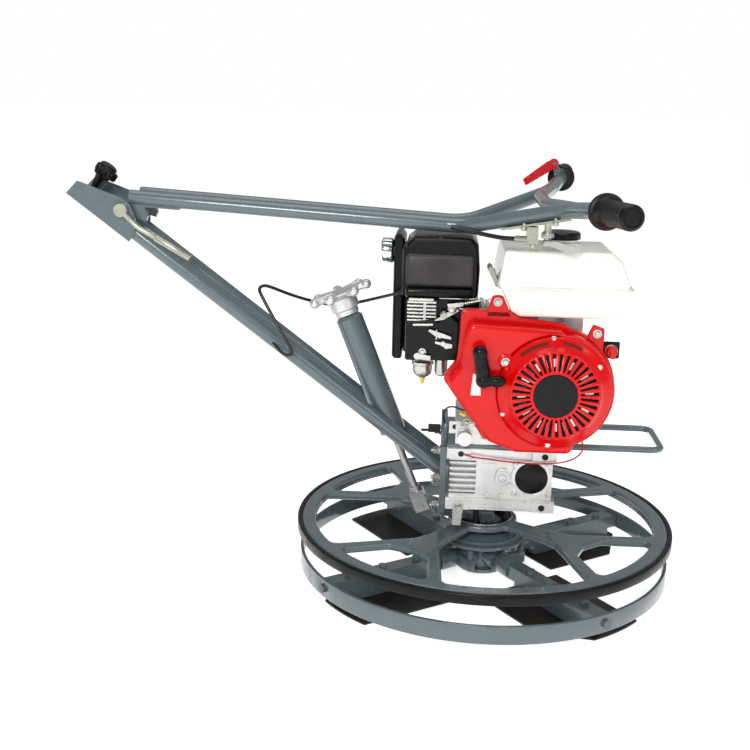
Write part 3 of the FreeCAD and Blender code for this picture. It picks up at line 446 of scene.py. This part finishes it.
# ------------------------------------------------------------------ guard ring
def guard_ring():
    # four wide windows between the spokes, and a small one in the fork of each spoke
    rim, hub = 271.0, 56.0
    hub_x, hub_y = 54.2, 14
    rim_x, rim_y = 250.7, 102.8
    fork_x, fork_y = 258.3, 81.9
    hub_turn = math.degrees(math.atan2(hub_y, hub_x))
    rim_turn = math.degrees(math.atan2(rim_y, rim_x))
    fork_turn = math.degrees(math.atan2(fork_y, fork_x))
    side = [(hub_x, hub_y), (125, 17), (150, 24), (rim_x, rim_y)]
    back = spun([(x, -y) for x, y in reversed(side)], 90)
    outer = bow(rim, rim_turn, 90 - rim_turn, 8)
    inner = bow(hub, 90 - hub_turn, hub_turn, 4)
    wide = rounded(side + outer + back + inner, 14)
    fork = [(186, 0), (196, -37), (fork_x, -fork_y)]
    small = rounded(fork + bow(rim, -fork_turn, fork_turn, 6) + [(fork_x, fork_y), (196, 37)], 11)
    windows = [circle(46.4, 64)]
    for angle in SPOKE_ANGLES:
        windows.append(spun(wide, angle))
        windows.append(spun(small, angle))
    middle = Matrix.Translation(at(0, 0, 85.5))
    mesh = plate_mesh(circle(292.5, 180), windows, 11, 3.5, "grey_paint", middle)
    settle("guard_ring_casting", mesh, "guard", 0, 40, ("guard_ring",))
    skirt = Shape("grey_paint")
    skirt.ring((0, 0, 75), UP, 292.4, 271.5, 9, sides=180)
    skirt.finish("guard_ring_rim", "guard", 2.5)


guard_ring()


# ------------------------------------------------------------------ fuel tank
def fuel_tank():
    top, front, back = 537.5, -110, 82
    outline = rounded([(10, top), (3, 488), (13.5, 469), (21.5, 449), (35, 441), (183, 441), (190.5, 472),
                       (191, 493), (179.5, 523), (163, top)], 7)
    tank = Shape("tank_white", "khaki", "decal", "clip_grey")
    rows = [(front, 4.5), (-109.2, 2.6), (-107.6, 1), (-105, 0.2), (-102, 0), (20, 0), (50, 0), (74, 0),
            (79, 1.2), (back, 5)]
    tank.pillow(outline, rows, None, lambda y: top - max(0, y - 20) * 0.18)
    seam = [(480.2, 4.5, 192, 1, 18), (481, 2.6, 198, -2.4, 20), (483, 2, 200, -3.8, 20),
            (485, 2.6, 198, -2.4, 20), (485.8, 4.5, 192, 1, 18)]
    tank.solid([rounded_box_ring(left, right, front + trim, back - trim, z, corner)
                for z, left, right, trim, corner in seam])
    tank.ring((98, -14, 532), UP, 25, 21.5, 12.8)
    strap = [(-12.5, 504), (-9, 508.5), (-5, 506), (5, 484), (4, 479), (1, 478)]
    tank.slab(strap, -74, 40, "khaki")
    border = [(56, 509), (127, 505), (127, 480), (55, 483)]
    tank.slab(border, -109.8, -0.15, "clip_grey")
    label = [(57, 508), (126, 504), (126, 481), (56, 484)]
    tank.slab(label, -109.9, -0.25, "decal")
    tank.finish("fuel_tank_shell", "frame", 0, 45, ("fuel_tank",))


fuel_tank()


# ------------------------------------------------------------------ recoil side
def on_cover(radius, degrees, depth):
    turn = math.radians(degrees)
    return (CRANK_X + radius * math.cos(turn), depth, CRANK_Z + radius * math.sin(turn))


def front_matrix(depth):
    # plate drawn in (x, z), facing -Y
    turn = Matrix.Rotation(math.radians(90), 4, "X")
    return Matrix.Translation(at(0, depth, 0)) @ turn


def arc(radius, start, stop, steps=24):
    turns = [math.radians(start + (stop - start) * i / steps) for i in range(steps + 1)]
    return [(CRANK_X + radius * math.cos(t), CRANK_Z + radius * math.sin(t)) for t in turns]


def blower():
    # the fan volute: round about the crank, with a corner at the upper left and a slanted lower left
    opening = circle(80, 96, CRANK_X, CRANK_Z)
    corners = rounded([(108, 432), (34, 440.5), (20, 450), (-49, 450), (-50, 408), (-53, 374), (-73, 346),
                       (-30, 286), (-10, 256), (38, 240), (118, 240)], 9)
    rear = plate_mesh(arc(90, -58, 74) + corners, [opening], 20, 2, "red_paint", front_matrix(-102))
    settle("blower_back_flange", rear, "frame", 0, 40, ("blower_housing",))
    corners = rounded([(100, 428), (-38, 435), (-44, 408), (-47, 374), (-66, 346), (-24, 288), (-3, 260),
                       (36, 245), (122, 245)], 11)
    face = plate_mesh(arc(87, -56, 72) + corners, [opening], 31, 5.5, "red_paint", front_matrix(-125.5))
    settle("blower_front", face, "frame", 0, 40, ())
    lugs = Shape("red_paint")
    lugs.slab([(-15, 440), (25, 440), (11, 471), (3, 473), (-5, 471)], -112, 8)
    lugs.slab([(125, 395), (159, 395), (158.5, 428), (142, 434)], -112, 8)
    lugs.finish("blower_lugs", "frame", 2)
    block = Shape("black_plastic")
    block.box((152, -104, 383), (183, -100, 408))
    block.finish("switch_lug", "frame", 1.5)
    bolts = Shape("zinc")
    for x, z in ((3, 463), (148, 421)):
        bolts.hex_bolt((x, -112, z), FRONT, 8, 5, washer=6.5)
    bolts.hex_bolt((-28, -141, 286), FRONT, 6, 2.5, washer=4.5)
    bolts.finish("blower_bolts", "frame", 0.4)


def recoil_shell():
    # a stepped dome; its flat annulus has two open sectors in every four, which are the slots
    outer, inner, sides = 62, 36, 144
    profile = [(0, 82), (3.5, 82), (6, 80.5), (7, 77), (9.5, 75), (11, 70), (17, 66.5), (20, 64.5),
               (22, outer), (22, inner), (22.5, 34), (23, 31)]
    mesh = bmesh.new()
    rows = []
    for height, radius in profile:
        spots = [on_cover(radius, 360 * i / sides, -141 - height) for i in range(sides)]
        rows.append([mesh.verts.new(at(*spot)) for spot in spots])
    for k in range(len(rows) - 1):
        slotted = profile[k][1] == outer and profile[k + 1][1] == inner
        for i in range(sides):
            if slotted and i % 4 in (1, 2):
                continue
            j = (i + 1) % sides
            mesh.faces.new((rows[k][i], rows[k][j], rows[k + 1][j], rows[k + 1][i]))
    bmesh.ops.recalc_face_normals(mesh, faces=mesh.faces)
    data = bpy.data.meshes.new("recoil_cover_shell")
    mesh.to_mesh(data)
    mesh.free()
    data.materials.append(LOOKS["red_paint"])
    shell = settle("recoil_cover_shell", data, "frame", 0, 45, ("recoil_cover",))
    wall = shell.modifiers.new("wall", "SOLIDIFY")
    wall.thickness = 1.6 * MM
    wall.offset = -1


def recoil_centre():
    disc = Shape("black_plastic")
    disc.turned((CRANK_X, -163, CRANK_Z), FRONT, [(0, 31.8), (1.2, 31.8), (1.8, 31), (1.8, 5)], sides=64)
    disc.finish("recoil_centre_disc", "frame", 0)
    pulley = Shape("zinc", "hole_shade")
    # painted shade: the dark disc behind the ribs stands for the shadowed inside of the starter seen through
    # the slots
    pulley.turned((CRANK_X, -150, CRANK_Z), FRONT, [(0, 66), (2, 66)], "hole_shade", 48)
    for i in range(24):
        degrees = 15 * i + 4
        turn = math.radians(degrees)
        near, far = Vector(on_cover(42, degrees, -153)), Vector(on_cover(54, degrees, -153))
        half = Vector((-math.sin(turn), 0, math.cos(turn))) * 1.7
        rib = [tuple(near + half), tuple(far + half), tuple(far - half), tuple(near - half)]
        pulley.prism(rib, (0, -5, 0), "zinc")
    pulley.finish("starter_pulley_ribs", "frame", 0)


def recoil_fixings():
    upper_ears = ((16.6, 382), (149.5, 380.5))
    lower_ear = (83, 262.1)
    bolts = Shape("zinc")
    for x, z in upper_ears:
        bolts.hex_bolt((x, -145, z), FRONT, 8, 5, washer=6.5)
    bolts.hex_bolt((lower_ear[0], -144.5, lower_ear[1]), FRONT, 7.5, 4, washer=5.8)
    for x, z in ((16.4, 304.9), (150, 302.8), (83, 418.8)):
        bolts.hex_bolt((x, -144.5, z), FRONT, 5, 2.2, washer=4)
    bolts.finish("recoil_bolts", "frame", 0.4)
    ears = Shape("red_paint")
    for x, z in (*upper_ears, lower_ear):
        ears.turned((x, -139, z), FRONT, [(0, 11.5), (4.6, 10.5), (5.6, 8.5)], sides=32)
    ears.turned((18, -147, 374.3), FRONT, [(0, 4), (6, 3.4), (7, 2)], sides=20)
    ears.finish("recoil_cover_ears", "frame", 0)


def recoil_marks():
    steps = 14
    # painted shade: the louvres are thin near-black slabs standing for the shadow inside the louvre slots
    louvre_shades = Shape("hole_shade")
    for radius in (70.8, 73.2, 75.6):
        for start, stop in ((100, 133), (62, 84)):
            low = arc(radius, start, stop, steps)
            high = arc(radius + 1.1, start, stop, steps)
            for k in range(steps):
                louvre_shades.slab([low[k], low[k + 1], high[k + 1], high[k]], -151.6, 5)
    louvre_shades.finish("recoil_louvre_shades", "frame", 0)
    label = Shape("decal")
    label.slab([(-31.5, 330), (-17, 330), (-19, 362), (-29, 362)], -141, -0.4)
    label.finish("blank_label", "frame", 0)


def recoil_grip():
    grip = Shape("black_plastic")
    top, elbow, tail = (-21, -158, 398), (-14.5, -158, 357), (9, -158.4, 357)
    grip.rod(top, elbow, 9.8)
    grip.ball(top, 10.6)
    grip.ball((-16.5, -158, 374), 11)
    grip.ball(elbow, 11.2)
    grip.rod(elbow, tail, 8)
    grip.ball((4, -158.4, 356), 8.6)
    grip.ball(tail, 8.2)
    piece = grip.finish("starter_grip", "starter", 0, 60, ("recoil_grip",))
    melt(piece, 1.2, 5)


blower()
recoil_shell()
recoil_centre()
recoil_fixings()
recoil_marks()
recoil_grip()


# ------------------------------------------------------------------ intake and exhaust side
def air_cleaner():
    shell = Shape("black_plastic")
    outline = rounded([(-136, 456), (-24, 456), (-23, 500), (-26, 536), (-35, 546), (-122, 546),
                       (-134, 536), (-137, 500)], 7)
    shell.pillow(outline, [(-60, 4.5), (-58, 2.2), (-54, 0.6), (-48, 0), (52, 0), (60, 4)])
    shell.finish("air_cleaner_case", "frame", 0.6, 35, ("air_cleaner",))
    face = Shape("panel")
    panel = rounded([(-133, 475), (-31, 474), (-32, 522), (-133, 523)], 6)
    face.pillow(panel, [(-69, 5), (-68, 2.6), (-66, 1), (-62, 0), (-57, 0)])
    face.finish("air_cleaner_panel", "frame", 0, 40)
    roll = Shape("black_plastic")
    roll.pillow(rounded([(-133, 456.5), (-31, 457.5), (-31, 473), (-133, 473)], 5),
                [(-72, 4), (-71, 2.6), (-68, 1), (-64, 0), (-57, 0)])
    roll.finish("air_cleaner_lower_roll", "frame", 0, 40)
    side = Shape("black_plastic")
    edge = rounded([(-139, 458), (-130, 458), (-130, 534), (-139, 528)], 3)
    side.pillow(edge, [(-56, 2), (-53, 0), (20, 0)])
    side.finish("air_cleaner_side", "frame", 0.4)
    clip = Shape("zinc")
    clip.turned((-83, -44, 540), UP, [(0, 7), (5.8, 7), (6, 6)], None, 24)
    clip.finish("air_cleaner_nut", "frame", 0.4)


def muffler():
    body = Shape("black_paint", "zinc")
    core = rounded([(-138, 352), (-96, 352), (-96, 452), (-138, 452)], 5)
    body.pillow(core, [(22, 3), (25, 0), (116, 0), (119, 3)])
    edge = rounded([(-156, 345), (-152, 340), (-139.5, 340), (-138.5, 352), (-138.5, 531), (-145, 540),
                    (-152, 540), (-156, 534)], 4)
    body.pillow(edge, [(22.2, 4), (24, 1.6), (28, 0.3), (34, 0), (112, 0), (117, 1), (119.5, 4)])
    body.hex_bolt((-146, 23.4, 368), FRONT, 6, 1, "zinc")
    body.finish("muffler_shell", "frame", 0.5, 35, ("muffler",))


def control_cover():
    cover = Shape("black_plastic")
    outline = rounded([(-131, 363), (-51, 365), (-51, 423), (-62, 432), (-84, 428), (-131, 424)], 4)
    cover.pillow(outline, [(-78, 2), (-76.6, 0.5), (-74, 0), (-60.5, 0)])
    cover.finish("control_cover_shell", "frame", 0.5, 35, ("control_cover",))
    ribs = Shape("zinc", "black_plastic")
    for k in range(6):
        z = 425 + 5.4 * k
        ribs.rod((-129, -75, z), (-86, -75, z), 2.0, "zinc", 20)
    ribs.rod((-127, -75, 456), (-90, -75, 456), 2.4, "zinc", 20)
    ribs.box((-105, -77, 425), (-101, -73, 452), "zinc")
    ribs.box((-131, -73, 418), (-84, -60.5, 455.5), "black_plastic")
    ribs.finish("intake_ribs", "frame", 0.3)
    bits = Shape("zinc")
    bits.hex_bolt((-104.8, -78, 377), FRONT, 7, 3.5, washer=6)
    bits.rod((-120, -77.5, 418), (-90, -77.5, 419), 2.2)
    bits.finish("control_cover_screw", "frame", 0.3)


def carburettor():
    parts = Shape("cast_alloy", "zinc", "brass", "yellow")
    parts.box((-124, -60, 362), (-66, -44, 424))
    parts.box((-116, -44, 380), (-78, -4, 424))
    parts.box((-112, -40, 420), (-82, -8, 456))
    bowl = [(0, 6), (3, 10.5), (7, 14), (13, 15), (20, 15), (21, 17), (25, 17), (26, 15)]
    parts.turned((-104, -56, 333), UP, bowl, "zinc", 40)
    cup = [(0, 5.5), (2, 8.6), (6, 9.8), (10, 10), (26, 10)]
    parts.turned((-76, -56, 336), UP, cup, "zinc", 32)
    parts.turned((-104, -56, 326.5), UP, [(0, 3), (1.5, 4.4), (6.5, 4.8), (7.5, 4)], "yellow", 6)
    parts.rod((-104, -56, 322.5), (-104, -56, 327), 2.4, "brass")
    parts.finish("carburettor_body", "frame", 0.4, 35, ("carburettor",))


def governor():
    parts = Shape("zinc", "clip_grey", "steel", "black_plastic")
    parts.rod((-60, -80, 449), (-17, -80, 459), 1.1)
    parts.rod((-17, -80, 459), (6, -84, 464), 1.1)
    parts.rod((-52, -84, 446), (12, -84, 441), 1.2)
    parts.pillow([(-20, 437), (-4, 434), (-4, 447), (-20, 450)], [(-88, 1), (-87, 0), (-80, 0)], "clip_grey")
    for k in range(9):
        x = -50 + 3.1 * k
        parts.ring((x, -80, 451.5 + 0.7 * k), (1, 0, 0.23), 3.1, 1.8, 1.6, "zinc", 20)
    parts.turned((-62, -70, 444), FRONT, [(0, 7), (8, 7), (9, 5.5), (12, 5.5), (13, 4)], "zinc", 24)
    parts.turned((-74, -70, 434), FRONT, [(0, 6), (7, 6), (8, 4.5), (12, 4.5)], "steel", 24)
    parts.slab([(-88, 426), (-56, 446), (-52, 441), (-84, 421)], -78, 2.5, "zinc")
    parts.slab([(-70, 452), (-46, 455), (-46, 449), (-68, 446)], -83, 2, "zinc")
    parts.box((-86, -64, 424), (-22, -56, 455), "black_plastic")
    parts.finish("governor_parts", "frame", 0.3, 35, ("governor_linkage",))


def small_levers():
    choke = Shape("zinc")
    choke.rod((-79, -78.3, 404), (-79, -85, 404), 4)
    choke.slab([(-97, 411), (-95, 414), (-72, 407), (-62, 403), (-62, 399), (-84, 402)], -83, -2.4)
    choke.rod((-84, -84, 398), (-84, -84, 413), 1.6)
    choke.finish("choke_thumb_lever", "choke", 0.5, 35, ("choke_lever",))
    valve = Shape("zinc")
    valve.rod((-74, -78.3, 391), (-74, -81.6, 391), 4)
    valve.slab([(-86, 395), (-60, 391), (-60, 385), (-70, 383), (-74, 388), (-86, 391)], -79, -2.2)
    valve.finish("fuel_valve_thumb_lever", "frame", 0.5, 35)


air_cleaner()
muffler()
control_cover()
carburettor()
governor()
small_levers()


# ------------------------------------------------------------------ gearbox front
def gearbox_front():
    parts = Shape("cast_alloy", "hole_shade", "zinc")
    wall, pad, rail = -73, -79, -78
    for left, right, low, high in ((-61, -25, 211, 227), (69, 105, 210, 227), (-61, -25, 128.6, 143),
                                   (70, 105, 128.6, 144)):
        parts.box((left, pad, low), (right, wall, high))
    for right, low, high in ((68, 224.4, 227), (68, 210, 212.4), (70, 129, 131), (70, 142.6, 145)):
        parts.box((-24, rail, low), (right, wall, high))
    parts.box((-14, -71.5, 160), (13, -69, 203))
    parts.ring((25, -73.5, 181), FRONT, 11, 6.5, 2.2)
    parts.turned((25, wall, 181), FRONT, [(0, 6.5), (2.6, 6), (3.2, 4)], None, 32)
    for x, z in ((46.8, 202), (92.5, 202), (46.2, 155.5), (92.5, 155.5)):
        parts.turned((x, -70, z), FRONT, [(0, 7), (4.4, 6.4), (5, 5.6)], None, 32)
        parts.turned((x, -74.6, z), FRONT, [(0, 3.2), (1, 3.2)], "zinc", 20)
    parts.ring((69, -73.6, 182.5), FRONT, 30.5, 25.6, 2.4)
    for x, z in ((87.6, 219), (86.4, 136)):
        parts.ring((x, -78.9, z), FRONT, 7.6, 5.2, 0.6, None, 32)
        # painted shade: flat dark discs stand for the shadow inside the tapped holes
        parts.turned((x, -78.9, z), FRONT, [(0, 5), (0.25, 5)], "hole_shade", 32)
    parts.turned((-40.4, -78.9, 219), FRONT, [(0, 4.6), (0.25, 4.6)], "hole_shade", 32)
    for x, z in ((24, 150), (2, 151), (36, 168)):
        parts.turned((x, -69.5, z), FRONT, [(0, 5), (2.2, 4.2)], None, 24)
    parts.finish("gearbox_front_pads", "frame", 0.8, 35)
    cap = Shape("black_plastic")
    dish = [(0, 24.9), (5.5, 24.9), (6.6, 24), (7.2, 21), (8.6, 18), (9, 8), (9, 0.5)]
    cap.turned((69, -70, 182.5), FRONT, dish, None, 64)
    cap.finish("bearing_cap_disc", "frame", 0, 35, ("gearbox_bearing_cap",))


def seal_parts():
    # dark seal under the gearbox and thin bright ring on the guard's hub
    parts = Shape("black_plastic")
    parts.ring((0, 0, 113), UP, 44, 30, 15)
    parts.finish("output_seal", "frame", 0.6)
    bright = Shape("zinc")
    bright.ring((0, 0, 91.3), UP, 50, 46.6, 1.6)
    bright.finish("guard_hub_ring", "guard", 0.4)


def pushed_collar():
    collar = Shape("grey_paint")
    outline = [(17.4, 0), (66, 0), (70.6, 1.4), (71.8, 3.6), (70, 6), (62, 7.5), (59, 10.5), (50, 12),
               (46, 15), (34, 16.5), (26, 19), (25, 24), (30, 26.5), (32, 28), (32, 30), (17.4, 30)]
    collar.lathe((0, 0, 55), outline)
    collar.finish("thrust_collar_casting", "collar", 0, 30, ("thrust_collar",))


def hub_studs():
    stud_reach, socket_reach = 33, 43.5
    studs = Shape("zinc", "grey_paint")
    for degrees in ARM_ANGLES:
        turn = math.radians(degrees)
        x, y = math.cos(turn), math.sin(turn)
        studs.turned((stud_reach * x, stud_reach * y, 44), UP, [(0, 5.5), (0.6, 5.5)], "grey_paint", 20)
        studs.hex_bolt((stud_reach * x, stud_reach * y, 44.6), UP, 7, 1.5, "zinc")
        studs.ring((socket_reach * x, socket_reach * y, 29), (x, y, 0), 17.3, 11.4, 4.5, "grey_paint", 40)
    studs.finish("hub_studs", "rotor", 0.6, 35)


def frame_bolts():
    parts = Shape("zinc")
    for y in (-52, 52):
        for z in (124, 170, 215):
            parts.hex_bolt((-72, y, z), (-1, 0, 0), 12, 5, "zinc", washer=8.4)
            parts.hex_bolt((-78.6, y, z), (-1, 0, 0), 11, 4.4, "zinc", stub=3)
    for x in (-30, 95):
        for y in (-50, 50):
            parts.rod((x, y, 228), (x, y, 233), 4.4, "zinc")
    parts.slab([(-50, 138), (-33, 138), (-37, 103), (-50, 103)], -81.4, 2.3, "zinc")
    parts.hex_bolt((-41, -81.4, 132), FRONT, 9, 4, "zinc", washer=6.5)
    parts.finish("frame_bolts", "frame", 0.4, 35, ("frame_fasteners",))


def engine_foot():
    parts = Shape("cast_alloy", "zinc", "steel", "yellow", "black_plastic", "hole_shade")
    parts.box((-60, -64, 247), (-42, -60, 266))
    # painted shade: a flat dark disc stands for the shadow inside the hole
    parts.turned((-51, -64, 257.6), FRONT, [(0, 4), (0.3, 4)], "hole_shade", 24)
    parts.box((-42, -70, 236), (-20, -58, 250), "cast_alloy")
    parts.hex_bolt((-34, -60, 263), FRONT, 9, 5, "zinc", washer=7)
    parts.hex_bolt((-24, -60, 252), FRONT, 9, 6, "zinc", washer=7)
    parts.hex_bolt((-38, -66, 244), FRONT, 7, 4, "steel")
    parts.slab([(-30, 262), (4, 262), (22, 238), (-24, 238)], -74, 10, "cast_alloy")
    parts.turned((-6, -74, 250), FRONT, [(0, 7), (3, 7), (3.6, 6)], "zinc", 28)
    parts.rod((-44, -66, 281), (-36, -66, 277), 3, "yellow", 16)
    parts.rod((-103, -60, 249.5), (-83, -60, 250), 2, "black_plastic", 16)
    parts.box((-92, -63, 247), (-73, -57, 259), "black_plastic")
    parts.finish("engine_foot_parts", "frame", 0.5, 35)


gearbox_front()
seal_parts()
pushed_collar()
hub_studs()
frame_bolts()
engine_foot()


# ------------------------------------------------------------------ handle
def grips():
    # rows are (height, radius): the hand guard, nine grip bands and the hollow end
    rows = [(0, 17.5), (1, 19), (4.5, 19.4), (5, 22.6), (6, 23.4), (11, 23.4), (12.4, 22.6), (13.5, 19.6),
            (17, 18.2), (23, 15.4)]
    for k in range(9):
        start = 27 + 8 * k
        rows += [(start, 15.2), (start + 1, 15.9), (start + 5, 15.9), (start + 6, 15.2)]
    rows += [(101, 15.3), (102, 15.9), (108, 15.9), (111, 14.6), (112.6, 12.6), (112.6, 11), (111, 10),
             (111, 0.4)]
    for side, node in ((-1, "grip_near"), (1, "grip_far")):
        run = Vector((16.6, side * 110, 3.96)).normalized()
        foot = Vector((120.9, side * 280, 613.64)) + run * 4.5
        grip = Shape("rubber")
        grip.turned(tuple(foot), tuple(run), rows, None, 56)
        grip.finish(node + "_rubber", "handle", 0, 35, (node,))


def clamp_knob():
    tilt = math.radians(37.04)
    off = Vector((math.sin(tilt), 0, math.cos(tilt)))
    up = Vector((-math.cos(tilt), 0, math.sin(tilt)))
    foot = Vector((-565, 0, 573.3)) - off * 18.7 + up * 61
    knob = Shape("black_plastic")
    hub = [(0, 6.5), (3, 7), (12, 8.4), (22, 11), (28, 13.4), (36, 14.6), (42, 14), (44.5, 11), (45, 6)]
    knob.turned(tuple(foot + off * 6.8), tuple(off), hub, None, 40)
    middle = foot + off * 40
    for k in range(5):
        turn = Matrix.Rotation(math.radians(72 * k), 3, off)
        reach = turn @ Vector((0, 1, 0))
        lobe = [(0, 3), (3, 5), (12, 5), (13.5, 3)]
        knob.turned(tuple(middle + reach * 14.5 - off * 9), tuple(off), lobe, None, 24)
    piece = knob.finish("clamp_knob_star", "knob", 0, 50, ("clamp_knob",))
    melt(piece, 1.0, 3)
    stud = Shape("zinc")
    stud.rod(tuple(foot - off * 10.5), tuple(foot + off * 8), 5)
    stud.finish("clamp_knob_stud", "knob", 0.3)


def kill_switch():
    x, z = 170, 396
    knob = Shape("red_plastic", "decal", "black_plastic")
    barrel = [(0, 8.8), (10, 8.8), (12, 8), (16, 7.6), (19.4, 7)]
    knob.turned((x, -104.6, z), FRONT, barrel, "red_plastic", 36)
    knob.ring((x, -109, z), FRONT, 8.95, 8.2, 3, "decal", 36)
    knob.box((x - 3.6, -130, z - 7.6), (x + 3.6, -122, z + 7.6), "red_plastic")
    knob.rod((x, -98, z), (x, -105, z), 3, "black_plastic")
    knob.finish("kill_switch_knob", "switch", 0.7, 35, ("kill_switch",))


def stop_lever():
    lever = Shape("red_plastic")
    lever.turned((107, 266.2, 640), BACK, [(0, 7), (1, 8), (9, 8), (9.8, 7)], None, 32)
    lever.pillow(rounded([(54.5, 611), (60, 600.5), (110, 632), (104, 646), (96, 643)], 2),
                 [(267, 0.8), (267.8, 0), (274.2, 0), (275, 0.8)])
    lever.finish("stop_lever_blade", "stop", 0, 35, ("stop_lever",))


grips()
clamp_knob()
kill_switch()
stop_lever()


# ------------------------------------------------------------------ cords
def cord_curve(name, node, route, diameter, look, body):
    curve = bpy.data.curves.new(name, "CURVE")
    curve.dimensions = "3D"
    curve.bevel_depth = diameter / 2 * MM
    curve.bevel_resolution = 4
    curve.use_fill_caps = True
    spline = curve.splines.new("NURBS")
    spline.points.add(len(route) - 1)
    for point, spot in zip(spline.points, route):
        point.co = (*at(*spot), 1)
    spline.order_u = 3
    spline.use_endpoint_u = True
    spline.resolution_u = 10
    curve.materials.append(LOOKS[look])
    piece = bpy.data.objects.new(name, curve)
    bpy.context.scene.collection.objects.link(piece)
    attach(piece, body)
    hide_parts(node)
    return piece


UPPER = [(-68, -44.5, 562.5), (-46, -49, 557.5), (-16, -67, 553.6), (8, -93, 552.6), (25, -108.6, 554.6)]
LOWER = [(-339, -36, 377.5), (-326, -49, 365), (-313, -53, 357), (-304, -54, 362), (-308.5, -53, 373.5),
         (-328, -47, 403), (-355, -33, 446), (-360.5, -28, 456.5), (-354, -21, 461), (-343, -14, 457),
         (-317, 8, 442.1), (-291, 36, 428.8), (-265, 55, 419.2), (-237, 62, 417.8), (-208, 57, 425.1),
         (-181, 41, 435.1), (-158, 17, 445.2), (-136.5, -8, 455.6)]
RED = [(-40.4, -61, 219), (-40.4, -79, 219.4), (-22, -84, 216.4), (6, -83, 213.2), (36, -84, 210.6),
       (66, -83, 209.2), (96, -84, 210.4), (122, -87, 216.6), (139, -89, 228), (144, -85, 242),
       (136, -78, 255), (121, -72, 264)]
BLACK = [(-67, -45, 258), (-71, -50, 273), (-65, -60, 287), (-54, -72, 292.5), (-43, -84, 291),
         (-33, -93, 292)]

upper = cord_curve("upper_throttle_cable", "throttle_cable_upper", UPPER, 6.5, "wire_black", "handle")
lower = cord_curve("lower_throttle_cable", "throttle_cable_lower", LOWER, 5, "wire_black", "frame")
red = cord_curve("red_stop_wire", "stop_wire_red", RED, 2.4, "wire_red", "frame")
black = cord_curve("black_stop_wire", "stop_wire_black", BLACK, 2.6, "wire_black", "frame")


# ------------------------------------------------------------------ floor, light and camera
def stage():
    bpy.ops.mesh.primitive_plane_add(size=300, location=(0, 0, -0.0005))
    floor = bpy.context.object
    floor.name = "floor"
    floor.data.materials.append(FLOOR)


def area_light(name, spot, target, width, power):
    data = bpy.data.lights.new(name, "AREA")
    data.shape = "SQUARE"
    data.size = width
    data.energy = power
    lamp = bpy.data.objects.new(name, data)
    lamp.location = spot
    lamp.rotation_euler = (Vector(target) - Vector(spot)).to_track_quat("-Z", "Y").to_euler()
    bpy.context.scene.collection.objects.link(lamp)


def lights():
    world = bpy.data.worlds.new("studio")
    world.use_nodes = True
    tree = world.node_tree
    paper = tree.nodes["Background"]
    paper.inputs["Color"].default_value = (1, 1, 1, 1)
    rays = tree.nodes.new("ShaderNodeLightPath")
    tree.links.new(spread(tree, rays.outputs["Is Camera Ray"], 0, 1, 0.36, 1.0), paper.inputs["Strength"])
    bpy.context.scene.world = world
    middle = (0, 0, 0.3)
    area_light("key", (-0.45, -2.4, 1.5), middle, 0.7, 34)
    area_light("fill", (1.6, -1.8, 1.5), middle, 1.2, 12)
    area_light("over", (0.0, 0.2, 3.0), middle, 2.0, 26)
    bpy.context.scene.view_settings.view_transform = "Standard"


def camera():
    data = bpy.data.cameras.new("camera")
    data.sensor_width = 36
    data.lens = 52.25
    data.clip_start = 0.01
    data.clip_end = 60
    lens = bpy.data.objects.new("camera", data)
    yaw, pitch, roll = -0.0633, 0.2525, 0.0205
    ahead = Vector((math.sin(yaw) * math.cos(pitch), math.cos(yaw) * math.cos(pitch), -math.sin(pitch)))
    right = Vector((math.cos(yaw), -math.sin(yaw), 0))
    up = right.cross(ahead)
    side = right * math.cos(roll) + up * math.sin(roll)
    top = up * math.cos(roll) - right * math.sin(roll)
    turn = Matrix((side, top, -ahead)).transposed().to_4x4()
    lens.matrix_world = Matrix.Translation(at(-74.03, -1669.14, 750.05)) @ turn
    bpy.context.scene.collection.objects.link(lens)
    bpy.context.scene.camera = lens


stage()
lights()
camera()
